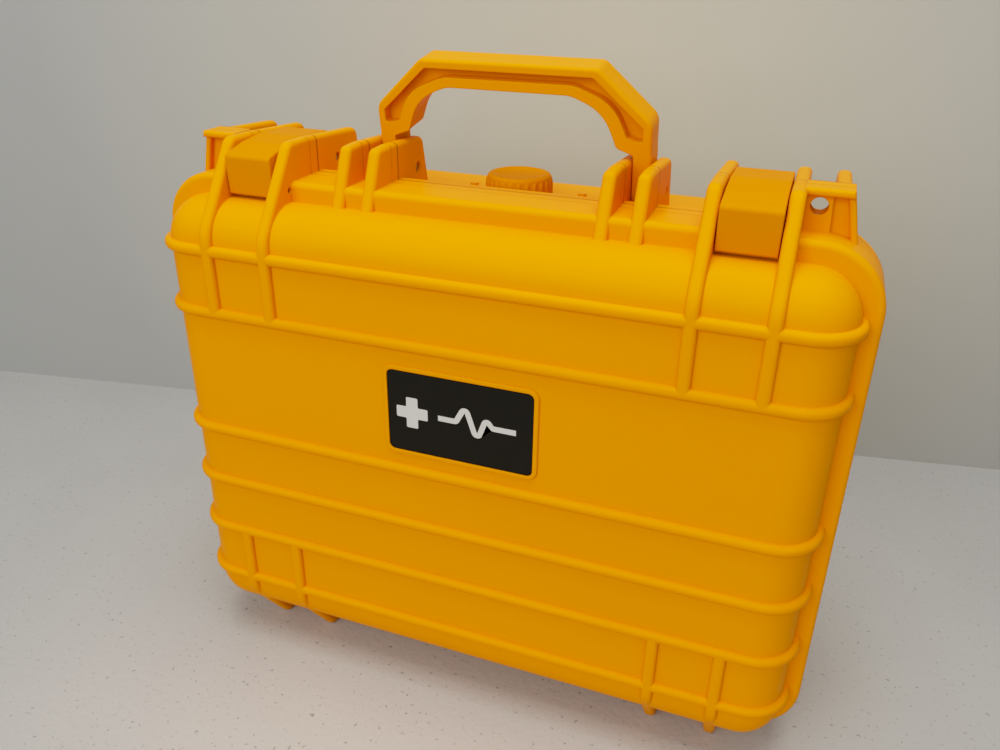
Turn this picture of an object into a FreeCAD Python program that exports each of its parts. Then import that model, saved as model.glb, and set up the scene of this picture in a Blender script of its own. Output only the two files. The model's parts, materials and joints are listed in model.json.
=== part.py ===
"""A portable defibrillator in a ribbed hard carry case that stands on its hinge edge.

Row frame: +Z up, -Y the lid's outer face, +X to the right of someone facing the lid.
The origin is at the bottom centre, in the plane that the hinge lugs stand on.
Millimetres throughout.
"""

import FreeCAD
import Part
import Sketcher
import math
import os
from types import SimpleNamespace

doc = FreeCAD.newDocument("defibrillator_case")

# ---------------------------------------------------------------- driving dimensions

DIMENSIONS = [
    # the two shells
    ("case_width", 356.0, "outside of the rim, left to right"),
    ("case_height", 269.0, "outside of the rim, bottom to top"),
    ("lid_depth", 42.9, "parting plane to the lid's outer face"),
    ("base_depth", 87.9, "parting plane to the base's back face"),
    ("parting_gap", 0.4, "between the closed shells' rims"),
    ("wall", 3.5, "shell wall"),
    ("side_overhang", 8.5, "rim's step out from the side walls"),
    ("top_overhang", 9.5, "rim's step out from the wall under the handle"),
    ("hinge_overhang", 5.5, "rim's step out from the wall at the hinge"),
    ("rim_corner", 30.0, "rim's corner radius, seen from the front"),
    ("wall_corner", 22.0, "shell's corner radius, seen from the front"),
    ("lid_rim", 19.4, "rim's thickness on the lid"),
    ("base_rim", 14.0, "rim's thickness on the base"),
    ("rim_round", 3.0, "rounding of the rim's outer edge"),
    ("edge_round", 20.0, "rounding of the shells' outer edges"),
    # ribs
    ("rib_width", 6.0, "horizontal rib"),
    ("rib_height", 3.2, "horizontal rib, proud of the wall"),
    ("rib_round", 2.7, "rounding of a horizontal rib's crest"),
    ("outer_rib", 101.6, "outermost ribs, from mid height"),
    ("inner_rib", 68.4, "next ribs in, from mid height"),
    ("waist_rib", 1.5, "rib just under mid height"),
    ("belly_rib", 35.0, "rib under the waist rib, from mid height"),
    # ears and lugs
    ("ear_width", 6.4, "thickness of every ear and lug"),
    ("ear_rise", 18.5, "ears stand this far out of the rim"),
    ("lug_rise", 16.5, "hinge lugs stand this far out of the rim"),
    ("ear_start", 111.0, "start of an ear's or lug's slope, from mid height"),
    ("ear_crest", 3.2, "height of an ear's rib on the shell's face"),
    ("ear_round", 2.4, "rounding of an ear's crest"),
    ("ear_run", 26.0, "outer face to the top of an ear's slope"),
    ("ear_bend", 20.0, "rounding where an ear leaves the face"),
    ("ear_nose", 6.0, "rounding of an ear's top corner"),
    ("latch_centre", 120.0, "latch, from the middle"),
    ("latch_gap", 26.8, "free width between a latch's two ears"),
    ("latch_ear_back", 49.0, "latch ears run this far back over the base"),
    ("handle_centre", 65.3, "handle arm, from the middle"),
    ("handle_gap", 9.2, "free width between two handle ears"),
    ("handle_ear_front", 24.0, "handle ears start this far in front of the parting plane"),
    ("handle_ear_back", 37.0, "handle ears run this far back over the base"),
    # padlock lugs
    ("lock_plate", 4.2, "padlock plate thickness on each shell"),
    ("lock_web", 1.8, "web beside the padlock plate"),
    ("lock_hole_r", 3.7, "padlock hole radius"),
    ("lock_hole_x", 5.4, "padlock hole, from the outer latch ear"),
    ("lock_hole_drop", 8.0, "padlock hole, under the ears' top"),
    ("lock_plate_far", 13.6, "padlock plate's outer side, from the outer latch ear"),
    ("lock_far", 21.6, "padlock lug's outer side at its top, from the outer latch ear"),
    ("lock_flare", 5.0, "how much further out the lug's outer side is at its foot"),
    ("lock_post", 3.0, "width of the post along the lug's outer side"),
    ("lock_post_deep", 5.4, "depth of that post on each shell"),
    ("lock_cap", 3.2, "padlock lug's top cap thickness"),
    ("lock_cap_deep", 8.0, "depth of the top cap on each shell"),
    # seal
    ("band", 3.5, "inner band at each shell's mouth, in from the wall"),
    ("band_high", 8.0, "depth of the inner band"),
    ("seal_inset", 3.5, "gasket's centre line, in from the wall's outer face"),
    ("seal_width", 4.0, "gasket width"),
    ("seal_depth", 4.0, "gasket height"),
    ("seal_play", 0.2, "groove's clearance on each side of the gasket"),
    ("tongue", 1.2, "base's sealing tongue, proud of its rim"),
    ("tongue_width", 2.0, "base's sealing tongue"),
    ("seal_gap", 0.2, "between the closed tongue and the gasket"),
    # hinge
    ("hinge_pin_r", 2.0, "hinge pin radius"),
    ("hinge_height", 9.5, "hinge axis above the standing plane"),
    ("knuckle_r", 6.6, "hinge knuckle radius"),
    ("hinge_side_gap", 0.4, "between a lid lug and a base lug"),
    ("bore_play", 0.06, "radial clearance of every running bore"),
    ("pin_recess", 1.4, "pin end below an ear's face"),
    # latch
    ("latch_pin_r", 2.5, "latch pivot pin radius"),
    ("latch_pin_back", 27.0, "latch pivot behind the parting plane"),
    ("latch_pin_drop", 15.0, "latch pivot under the ears' top"),
    ("latch_side_gap", 0.5, "between latch and ear"),
    ("catch_pin_r", 1.5, "catch pin radius"),
    ("catch_pin_front", 21.0, "catch pin in front of the parting plane"),
    ("catch_pin_drop", 22.3, "catch pin under the ears' top"),
    ("latch_nose", 5.0, "latch's outer face in front of the catch pin"),
    ("latch_skirt", 3.8, "latch's lower edge under the catch pin"),
    ("latch_face", 19.7, "height of the latch's outer face"),
    ("latch_thick", 4.6, "latch's top wall"),
    ("latch_cheek", 3.0, "latch's side wall"),
    # handle
    ("handle_pin_r", 2.9, "handle pin radius"),
    ("handle_pin_back", 30.0, "handle pivot behind the parting plane"),
    ("handle_pin_drop", 17.0, "handle pivot under the ears' top"),
    ("handle_lean", 10.0, "degrees that the handle leans towards the lid at rest"),
    ("handle_reach", 58.0, "pivot to the grip's outer face"),
    ("handle_grip", 12.6, "grip's height, outer to inner face"),
    ("handle_thick", 17.0, "handle, front to back"),
    ("handle_top", 43.5, "half length of the grip's straight top"),
    ("handle_half", 69.3, "handle's outer face, from the middle"),
    ("handle_cheek", 34.5, "pivot to the lower end of the handle's sloped corner"),
    ("handle_arm", 8.4, "arm width between its ears"),
    ("handle_shoulder", 19.6, "pivot to the underside of the handle's shoulder"),
    ("handle_shoulder_x", 53.0, "shoulder's inner end, from the middle"),
    ("handle_flange", 4.0, "outer flange around the handle's sunk panel"),
    ("handle_web", 5.0, "web left between the two sunk panels"),
    ("handle_soft", 1.6, "rounding of the handle's outer edges"),
    # pressure valve
    ("valve_back", 35.4, "valve axis behind the parting plane"),
    ("knob_r", 17.2, "valve knob radius"),
    ("knob_high", 10.4, "valve knob height"),
    ("knob_gap", 1.6, "knob above the wall"),
    ("knob_dish", 0.8, "depth of the knob's dished top"),
    ("flute_r", 1.1, "knob's flute radius"),
    ("flutes", 28.0, "number of flutes"),
    ("valve_r", 8.0, "valve body's barrel radius"),
    ("valve_flange_r", 12.0, "valve body's flange radius"),
    ("valve_flange", 2.0, "valve body's flange thickness"),
    ("valve_bore_r", 4.5, "vent bore radius"),
    ("valve_nut_af", 22.0, "valve nut, across flats"),
    ("valve_nut_high", 4.0, "valve nut height"),
    ("valve_seal_r", 1.0, "valve seal's cord radius"),
    # label
    ("label_x", -1.0, "label centre, from the middle"),
    ("label_width", 76.0, "label plate"),
    ("label_height", 44.5, "label plate"),
    ("label_thick", 0.8, "label plate"),
    ("label_corner", 3.0, "label plate's corner radius"),
    ("label_frame", 2.3, "raised frame around the label"),
    ("frame_proud", 1.2, "raised frame, proud of the wall"),
    ("label_rise", 32.5, "label centre above mid height"),
    ("print_thick", 0.12, "printed film on the label"),
    # foam and the defibrillator inside
    ("foam_play", 1.0, "foam's clearance to the shells"),
    ("foam_face", 2.5, "foam faces below the parting plane"),
    ("pocket_play", 1.0, "foam pocket's clearance around what it holds"),
    ("unit_width", 212.0, "defibrillator"),
    ("unit_height", 176.0, "defibrillator"),
    ("unit_front", 22.0, "defibrillator's front housing depth"),
    ("unit_rear", 36.0, "defibrillator's rear housing depth"),
    ("unit_sunk", 7.0, "defibrillator's face behind the parting plane"),
    ("unit_x", -40.0, "defibrillator's centre, from the middle"),
    ("unit_corner", 20.0, "defibrillator's corner radius"),
    ("unit_wall", 2.6, "defibrillator's housing wall"),
    ("unit_round", 5.0, "rounding of the defibrillator's outer edges"),
    ("pouch_width", 74.0, "electrode pouch"),
    ("pouch_height", 176.0, "electrode pouch"),
    ("pouch_thick", 24.0, "electrode pouch"),
    ("pouch_gap", 12.0, "foam between the defibrillator and the pouch"),
    ("button_play", 0.35, "radial gap around a push button"),
    ("shock_r", 17.0, "shock button radius"),
    ("power_r", 12.0, "power button radius"),
    ("board_thick", 1.6, "circuit board"),
    ("catch_floor", 0.6, "floor of the lid's latch notch, above the wall"),
    ("screw_r", 1.5, "housing screw shank radius"),
    ("screw_head_r", 2.8, "housing screw head radius"),
]


class Size:
    """A length that carries both its number and the sheet formula it comes from."""

    def __init__(self, number, text):
        self.number = number
        self.text = text

    @staticmethod
    def of(value):
        return value if isinstance(value, Size) else Size(float(value), repr(float(value)))

    def __add__(self, other):
        other = Size.of(other)
        return Size(self.number + other.number, f"({self.text} + {other.text})")

    def __radd__(self, other):
        return Size.of(other) + self

    def __sub__(self, other):
        other = Size.of(other)
        return Size(self.number - other.number, f"({self.text} - {other.text})")

    def __rsub__(self, other):
        return Size.of(other) - self

    def __mul__(self, other):
        other = Size.of(other)
        return Size(self.number * other.number, f"({self.text} * {other.text})")

    def __rmul__(self, other):
        return Size.of(other) * self

    def __truediv__(self, other):
        other = Size.of(other)
        return Size(self.number / other.number, f"({self.text} / {other.text})")

    def __neg__(self):
        return Size.of(0) - self


sheet = doc.addObject("Spreadsheet::Sheet", "sizes")
for row, (alias, number, note) in enumerate(DIMENSIONS, start=1):
    sheet.set(f"A{row}", alias.replace("_", " "))
    sheet.set(f"B{row}", str(number))
    sheet.set(f"C{row}", note)
    sheet.setAlias(f"B{row}", alias)
doc.recompute()
d = SimpleNamespace(**{a: Size(float(sheet.get(a)), f"sizes.{a}") for a, _, _ in DIMENSIONS})

# ---------------------------------------------------------------- places worked out from them

PARTING = (d.lid_depth - d.base_depth) / 2
LID_FACE = PARTING - d.lid_depth
BACK_FACE = PARTING + d.base_depth
LID_EDGE = PARTING - d.parting_gap / 2
BASE_EDGE = PARTING + d.parting_gap / 2
MID_Z = d.lug_rise + d.case_height / 2
RIM_TOP = d.lug_rise + d.case_height
EAR_TOP = RIM_TOP + d.ear_rise
WALL_TOP = RIM_TOP - d.top_overhang
WALL_FOOT = d.lug_rise + d.hinge_overhang
WALL_MID = (WALL_TOP + WALL_FOOT) / 2
WALL_WIDTH = d.case_width - 2 * d.side_overhang
WALL_HEIGHT = WALL_TOP - WALL_FOOT
INNER_WIDTH = WALL_WIDTH - 2 * d.wall
INNER_HEIGHT = WALL_HEIGHT - 2 * d.wall
INNER_CORNER = d.wall_corner - d.wall
INNER_ROUND = d.edge_round - d.wall
MOUTH_WIDTH = INNER_WIDTH - 2 * d.band
MOUTH_HEIGHT = INNER_HEIGHT - 2 * d.band
RIB_LEVELS = [d.outer_rib, d.inner_rib, -d.waist_rib, -d.belly_rib, -d.inner_rib, -d.outer_rib]
LATCH_EAR_INNER = d.latch_centre - (d.latch_gap + d.ear_width) / 2
LATCH_EAR_OUTER = d.latch_centre + (d.latch_gap + d.ear_width) / 2
HANDLE_EAR_INNER = d.handle_centre - (d.handle_gap + d.ear_width) / 2
HANDLE_EAR_OUTER = d.handle_centre + (d.handle_gap + d.ear_width) / 2
LATCH_PIN = (PARTING + d.latch_pin_back, EAR_TOP - d.latch_pin_drop)
CATCH_PIN = (PARTING - d.catch_pin_front, EAR_TOP - d.catch_pin_drop)
HANDLE_PIN = (PARTING + d.handle_pin_back, EAR_TOP - d.handle_pin_drop)
HINGE_PIN = (PARTING, d.hinge_height)
VALVE_Y = PARTING + d.valve_back
LABEL_Z = MID_Z + d.label_rise
UNIT_FACE = PARTING + d.unit_sunk
UNIT_SPLIT = UNIT_FACE + d.unit_front
UNIT_BACK = UNIT_SPLIT + d.unit_rear
POUCH_FRONT = PARTING + d.foam_face + 3
POUCH_X = d.unit_x + d.unit_width / 2 + d.pouch_gap + d.pouch_width / 2
SIDES = {"left": -1, "right": 1}
DEEP = 14.0  # how far an added form reaches into solid wall, so that the two join

# ---------------------------------------------------------------- modelling helpers

PLANES = {"XY": "XY_Plane", "XZ": "XZ_Plane", "YZ": "YZ_Plane"}
X, Y, Z = 0, 1, 2


def bind(thing, path, size):
    thing.setExpression(path, Size.of(size).text)


def origin_plane(body, role):
    return next(f for f in body.Origin.OriginFeatures if f.Role == role)


def new_sketch(body, plane, start):
    """A sketch on one of the body's own planes, moved along that plane's normal to start."""
    sketch = body.newObject("Sketcher::SketchObject", body.Name + "_sketch")
    sketch.AttachmentSupport = [(origin_plane(body, PLANES[plane]), "")]
    sketch.MapMode = "FlatFace"
    bind(sketch, ".AttachmentOffset.Base.z", start)
    return sketch


def place_point(sketch, geometry, end, point):
    for kind, size in zip(("DistanceX", "DistanceY"), point):
        size = Size.of(size)
        index = sketch.addConstraint(Sketcher.Constraint(kind, -1, 1, geometry, end, size.number))
        bind(sketch, f"Constraints[{index}]", size)


def draw_outline(sketch, points):
    """A closed outline of straight lines through points, each placed by the sheet."""
    corners = [FreeCAD.Vector(Size.of(u).number, Size.of(v).number, 0) for u, v in points]
    first = sketch.GeometryCount
    count = len(corners)
    for i, corner in enumerate(corners):
        sketch.addGeometry(Part.LineSegment(corner, corners[(i + 1) % count]))
    for i in range(count):
        following = first + (i + 1) % count
        sketch.addConstraint(Sketcher.Constraint("Coincident", first + i, 2, following, 1))
        place_point(sketch, first + i, 1, points[i])


def draw_circle(sketch, centre, radius):
    radius = Size.of(radius)
    middle = FreeCAD.Vector(Size.of(centre[0]).number, Size.of(centre[1]).number, 0)
    up = FreeCAD.Vector(0, 0, 1)
    index = sketch.addGeometry(Part.Circle(middle, up, radius.number))
    place_point(sketch, index, 3, centre)
    constraint = sketch.addConstraint(Sketcher.Constraint("Radius", index, radius.number))
    bind(sketch, f"Constraints[{constraint}]", radius)


def draw_rounded(sketch, centre, width, height, corner):
    """A rectangle with four equal round corners."""
    cu, cv = Size.of(centre[0]), Size.of(centre[1])
    width, height, corner = Size.of(width), Size.of(height), Size.of(corner)
    left, right = (cu - width / 2).number, (cu + width / 2).number
    low, high = (cv - height / 2).number, (cv + height / 2).number
    r = corner.number
    vector = FreeCAD.Vector
    first = sketch.GeometryCount
    ends = [
        ((left + r, low), (right - r, low)),
        ((right, low + r), (right, high - r)),
        ((right - r, high), (left + r, high)),
        ((left, high - r), (left, low + r)),
    ]
    for start, stop in ends:
        sketch.addGeometry(Part.LineSegment(vector(*start, 0), vector(*stop, 0)))
    middles = [
        (right - r, low + r, -90), (right - r, high - r, 0),
        (left + r, high - r, 90), (left + r, low + r, 180),
    ]
    for u, v, begin in middles:
        circle = Part.Circle(vector(u, v, 0), vector(0, 0, 1), r)
        sketch.addGeometry(Part.ArcOfCircle(circle, math.radians(begin), math.radians(begin + 90)))
    for i in range(4):
        sketch.addConstraint(Sketcher.Constraint("Tangent", first + i, 2, first + 4 + i, 1))
        sketch.addConstraint(
            Sketcher.Constraint("Tangent", first + 4 + i, 2, first + (i + 1) % 4, 1))
        sketch.addConstraint(
            Sketcher.Constraint("Horizontal" if i % 2 == 0 else "Vertical", first + i))
    for i in range(1, 4):
        sketch.addConstraint(Sketcher.Constraint("Equal", first + 4, first + 4 + i))
    named = [
        (Sketcher.Constraint("Radius", first + 4, r), corner),
        (Sketcher.Constraint("DistanceY", -1, 1, first, 1, low), cv - height / 2),
        (Sketcher.Constraint("DistanceY", -1, 1, first + 2, 1, high), cv + height / 2),
        (Sketcher.Constraint("DistanceX", -1, 1, first + 1, 1, right), cu + width / 2),
        (Sketcher.Constraint("DistanceX", -1, 1, first + 3, 1, left), cu - width / 2),
    ]
    for constraint, size in named:
        bind(sketch, f"Constraints[{sketch.addConstraint(constraint)}]", size)


def pad(name, plane, low, high, *drawings):
    """A body: drawings on a plane, padded from low to high along the plane's axis.

    Each drawing is a function of the sketch. The XZ plane faces -Y, so its pad starts at high.
    """
    body = doc.addObject("PartDesign::Body", name)
    low, high = Size.of(low), Size.of(high)
    sketch = new_sketch(body, plane, -high if plane == "XZ" else low)
    for draw in drawings:
        draw(sketch)
    feature = body.newObject("PartDesign::Pad", name + "_pad")
    feature.Profile = sketch
    bind(feature, "Length", high - low)
    sketch.Visibility = False
    doc.recompute()
    return body


def outline(*points):
    return lambda sketch: draw_outline(sketch, points)


def circle(centre, radius):
    return lambda sketch: draw_circle(sketch, centre, radius)


def rounded(centre, width, height, corner):
    return lambda sketch: draw_rounded(sketch, centre, width, height, corner)


def soften(body, radius, wanted, kind="Fillet"):
    """Rounds (or chamfers) the edges of the body for which wanted(edge) is true."""
    names = [f"Edge{i}" for i, e in enumerate(body.Tip.Shape.Edges, start=1) if wanted(e)]
    if not names:
        raise RuntimeError(f"{body.Name}: no edge to soften")
    base = body.Tip
    feature = body.newObject("PartDesign::" + kind, f"{body.Name}_{kind.lower()}")
    feature.Base = (base, names)
    bind(feature, "Radius" if kind == "Fillet" else "Size", radius)
    doc.recompute()
    return body


def on(axis, *places):
    """True for an edge that lies in a plane across the axis at one of the places."""
    numbers = [Size.of(place).number for place in places]

    def wanted(edge):
        points = [edge.valueAt(edge.FirstParameter + t * (edge.LastParameter - edge.FirstParameter))
                  for t in (0, 0.5, 1)]
        return any(all(abs(p[axis] - n) < 0.01 for p in points) for n in numbers)

    return wanted


def along(axis):
    """True for a straight edge parallel to the axis."""

    def wanted(edge):
        if len(edge.Vertexes) < 2 or not isinstance(edge.Curve, (Part.Line, Part.LineSegment)):
            return False
        run = edge.Vertexes[1].Point - edge.Vertexes[0].Point
        return abs(run[axis]) > 0.999 * run.Length

    return wanted


def both(*tests):
    return lambda edge: all(test(edge) for test in tests)


def middle_of(edge):
    return edge.valueAt((edge.FirstParameter + edge.LastParameter) / 2)


def where(test):
    """True for an edge whose middle point passes the test."""
    return lambda edge: test(middle_of(edge))


def cylinder(name, axis, centre, radius, low, high):
    """A cylinder along an axis; centre gives the other two coordinates in X, Y, Z order."""
    thing = doc.addObject("Part::Cylinder", name)
    bind(thing, "Radius", radius)
    low, high = Size.of(low), Size.of(high)
    bind(thing, "Height", high - low)
    turn = {X: (FreeCAD.Vector(0, 1, 0), 90), Y: (FreeCAD.Vector(1, 0, 0), -90),
            Z: (FreeCAD.Vector(0, 0, 1), 0)}[axis]
    thing.Placement = FreeCAD.Placement(FreeCAD.Vector(), FreeCAD.Rotation(*turn))
    place = list(centre)
    place.insert(axis, low)
    for letter, size in zip("xyz", place):
        bind(thing, f".Placement.Base.{letter}", size)
    return thing


def fuse(name, shapes):
    thing = doc.addObject("Part::MultiFuse", name)
    thing.Shapes = shapes
    doc.recompute()
    return thing


def cut(name, base, tools):
    thing = doc.addObject("Part::Cut", name)
    thing.Base = base
    thing.Tool = tools[0] if len(tools) == 1 else fuse(name + "_tools", tools)
    doc.recompute()
    return thing


NODES = []


def node(label, thing):
    """Names a finished piece; its label is the name of its file."""
    thing.Label = label
    NODES.append(thing)
    return thing


# ---------------------------------------------------------------- the two shells


def shell_form(name, side, face, edge, rim):
    """Outer form of one shell: a box with rounded outer edges, and its rim.

    side is -1 for the lid, whose outer face is at -Y, and 1 for the base.
    """
    low, high = (face, edge) if side < 0 else (edge, face)
    wall = pad(name + "_wall", "XZ", low, high,
               rounded((0, WALL_MID), WALL_WIDTH, WALL_HEIGHT, d.wall_corner))
    soften(wall, d.edge_round, on(Y, face))
    rim_end = edge + side * rim
    low, high = (rim_end, edge) if side < 0 else (edge, rim_end)
    band = pad(name + "_rim", "XZ", low, high,
               rounded((0, MID_Z), d.case_width, d.case_height, d.rim_corner))
    soften(band, d.rim_round, on(Y, rim_end))
    return [wall, band]


def shell_ribs(name, side, face, edge):
    """Horizontal ribs, each one a rounded hoop that runs from rim to rim across the face."""
    ribs = []
    crest = face + side * d.rib_height
    half = WALL_WIDTH / 2 + d.rib_height
    for i, level in enumerate(RIB_LEVELS, start=1):
        z = MID_Z + level
        start = edge + side * DEEP
        rib = pad(f"{name}_rib_{i}", "XY", z - d.rib_width / 2, z + d.rib_width / 2,
                  outline((-half, start), (half, start), (half, crest), (-half, crest)))
        soften(rib, d.edge_round + d.rib_height, both(along(Z), on(Y, crest)))
        level_edges = on(Z, z - d.rib_width / 2, z + d.rib_width / 2)
        not_start = where(lambda p, s=start.number: abs(p.y - s) > 0.01)
        soften(rib, d.rib_round, both(level_edges, not_start))
        ribs.append(rib)
    return ribs


def cavity(name, side, face, edge):
    """The room inside a shell: wide behind the inner band, narrower through it."""
    inner = face - side * d.wall
    step = edge + side * d.band_high
    reach = edge - side * 1
    low, high = (inner, step) if side < 0 else (step, inner)
    room = pad(name + "_room", "XZ", low, high,
               rounded((0, WALL_MID), INNER_WIDTH, INNER_HEIGHT, INNER_CORNER))
    soften(room, INNER_ROUND, on(Y, inner))
    low, high = (step - 1, reach) if side < 0 else (reach, step + 1)
    mouth = pad(name + "_mouth", "XZ", low, high,
                rounded((0, WALL_MID), MOUTH_WIDTH, MOUTH_HEIGHT, INNER_CORNER - d.band))
    return [room, mouth]


def ear(name, x, profile, corners, crest):
    """A flat ear across X, centred on x, with rounded corners and a rounded crest.

    corners pairs a rounding with the (y, z) of the outline corner it rounds.
    crest is a test on a point (y, z) for the part of the outline that is rounded over.
    """
    low, high = x - d.ear_width / 2, x + d.ear_width / 2
    form = pad(name, "YZ", low, high, outline(*profile))
    for radius, (y, z) in corners:
        y, z = Size.of(y).number, Size.of(z).number
        near = where(lambda p, y=y, z=z: abs(p.y - y) < 0.01 and abs(p.z - z) < 0.01)
        soften(form, radius, both(along(X), near))
    return soften(form, d.ear_round, both(on(X, low, high), where(crest)))


def lid_latch_ear(name, x):
    front = LID_FACE - d.ear_crest
    bend = (front, MID_Z + d.ear_start)
    nose = (LID_FACE + d.ear_run, EAR_TOP)
    foot = MID_Z + d.inner_rib
    inside = MID_Z + d.outer_rib + 2
    profile = [(front, foot), bend, nose, (LID_EDGE, EAR_TOP), (LID_EDGE, inside),
               (LID_FACE + 8, inside), (LID_FACE + 8, foot)]
    return ear(name, x, profile, [(d.ear_bend, bend), (d.ear_nose, nose)],
               lambda p: p.y < LID_FACE.number or
               (p.z > inside.number + 1 and p.y < LID_EDGE.number - 0.01))


def lid_handle_ear(name, x):
    toe = (LID_EDGE - d.handle_ear_front, WALL_TOP - 1)
    nose = (LID_EDGE - d.handle_ear_front + 12.5, EAR_TOP - 0.5)
    profile = [toe, nose, (LID_EDGE, EAR_TOP), (LID_EDGE, WALL_TOP - 2), (toe[0], WALL_TOP - 2)]
    return ear(name, x, profile, [(d.ear_nose * 0.6, nose)],
               lambda p: p.z > WALL_TOP.number and p.y < LID_EDGE.number - 0.01)


def base_ear(name, x, back, heel, drop):
    """An ear on the base that ends in a slanted heel behind its pivot."""
    start = (BASE_EDGE, EAR_TOP)
    top = (BASE_EDGE + back - heel, EAR_TOP - drop)
    foot = (BASE_EDGE + back, WALL_TOP - 2)
    profile = [(BASE_EDGE, WALL_TOP - 2), start, top, foot]
    return ear(name, x, profile, [(d.ear_nose * 0.8, top)],
               lambda p: p.z > WALL_TOP.number - 1 and p.y > BASE_EDGE.number + 0.01)


def lid_lug(name, x):
    """A hinge lug on the lid: a rib down the face, the slope under the case, and a knuckle."""
    front = LID_FACE - d.ear_crest
    bend = (front, MID_Z - d.ear_start)
    nose = (LID_FACE + d.ear_run, Size.of(0))
    top = MID_Z - d.inner_rib
    inside = MID_Z - d.outer_rib - 2
    profile = [(front, top), (LID_FACE + 8, top), (LID_FACE + 8, inside), (LID_EDGE, inside),
               (LID_EDGE, 0), nose, bend]
    plate = ear(name, x, profile, [(d.ear_bend, bend), (d.ear_nose, nose)],
                lambda p: p.y < LID_FACE.number or
                (1 < p.z < inside.number - 1 and p.y < LID_EDGE.number - 0.01))
    return [plate, knuckle(name, x)]


def base_lug(name, x):
    front = BACK_FACE + d.ear_crest
    bend = (front, MID_Z - d.ear_start)
    nose = (BACK_FACE - d.ear_run, Size.of(0))
    top = MID_Z - d.inner_rib
    inside = MID_Z - d.outer_rib - 2
    profile = [(front, top), bend, nose, (BASE_EDGE, 0), (BASE_EDGE, inside),
               (BACK_FACE - 8, inside), (BACK_FACE - 8, top)]
    plate = ear(name, x, profile, [(d.ear_bend, bend), (d.ear_nose, nose)],
                lambda p: p.y > BACK_FACE.number or
                (1 < p.z < inside.number - 1 and p.y > BASE_EDGE.number + 0.01))
    return [plate, knuckle(name, x)]


def knuckle(name, x):
    low, high = x - d.ear_width / 2, x + d.ear_width / 2
    return cylinder(name + "_knuckle", X, HINGE_PIN, d.knuckle_r, low, high)


def lock_lug(name, sign, side, edge):
    """A padlock lug beside the outer latch ear: plate, web, outer post and top cap."""
    near = LATCH_EAR_OUTER + d.ear_width / 2 - 1
    plate_far = LATCH_EAR_OUTER + d.lock_plate_far
    far = LATCH_EAR_OUTER + d.lock_far
    flare = d.lock_flare
    foot = RIM_TOP - 6

    def slab(part, deep, *points):
        end = edge + side * deep
        low, high = (end, edge) if side < 0 else (edge, end)
        placed = [(sign * x, z) for x, z in points]
        return end, pad(f"{name}_{part}", "XZ", low, high, outline(*placed))

    _, web = slab("web", d.lock_web, (near, foot), (far + flare - 1, foot),
                  (far - 1, EAR_TOP - 1), (near, EAR_TOP - 1))
    _, plate = slab("plate", d.lock_plate, (near, foot), (plate_far + 1, foot),
                    (plate_far, EAR_TOP - 1), (near, EAR_TOP - 1))
    end, post = slab("post", d.lock_post_deep, (far + flare - d.lock_post, foot),
                     (far + flare, foot), (far, EAR_TOP), (far - d.lock_post, EAR_TOP))
    soften(post, d.lock_post * 0.4, both(on(Y, end), where(lambda p: p.z > foot.number + 1)))
    end, cap = slab("cap", d.lock_cap_deep, (near, EAR_TOP - d.lock_cap),
                    (far + 0.6, EAR_TOP - d.lock_cap), (far, EAR_TOP), (near, EAR_TOP))
    soften(cap, d.lock_cap * 0.4, both(on(Y, end), where(lambda p: abs(p.x) > near.number + 1)))
    return [web, plate, post, cap]


def lock_hole(name, sign, low, high):
    x = sign * (LATCH_EAR_OUTER + d.lock_hole_x + d.ear_width / 2)
    return cylinder(name, Y, (x, EAR_TOP - d.lock_hole_drop), d.lock_hole_r, low, high)


def pin_hole(name, sign, inner, outer, centre, radius):
    """A bore along X through the ears whose middles are at inner and outer."""
    near, far = inner - d.ear_width / 2 - 1, outer + d.ear_width / 2 + 1
    low, high = (near, far) if sign > 0 else (-far, -near)
    return cylinder(name, X, centre, radius, low, high)


def seal_ring(name, low, high, width):
    """A rounded ring in the shells' mouths, centred on the gasket's line."""
    inset = d.seal_inset
    outer = rounded((0, WALL_MID), WALL_WIDTH - 2 * inset + width, WALL_HEIGHT - 2 * inset + width,
                    d.wall_corner - inset + width / 2)
    inner = rounded((0, WALL_MID), WALL_WIDTH - 2 * inset - width, WALL_HEIGHT - 2 * inset - width,
                    d.wall_corner - inset - width / 2)
    return pad(name, "XZ", low, high, outer, inner)


def latch_notch(name, sign):
    """Clears the lid's rim between two latch ears, so that the latch reaches down to the wall."""
    half = d.latch_gap / 2
    floor = WALL_TOP + d.catch_floor
    front = LID_EDGE - d.lid_rim - 1
    return pad(name, "YZ", sign * d.latch_centre - half, sign * d.latch_centre + half,
               outline((front, floor), (LID_EDGE + 1, floor), (LID_EDGE + 1, RIM_TOP + 1),
                       (front, RIM_TOP + 1)))


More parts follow.
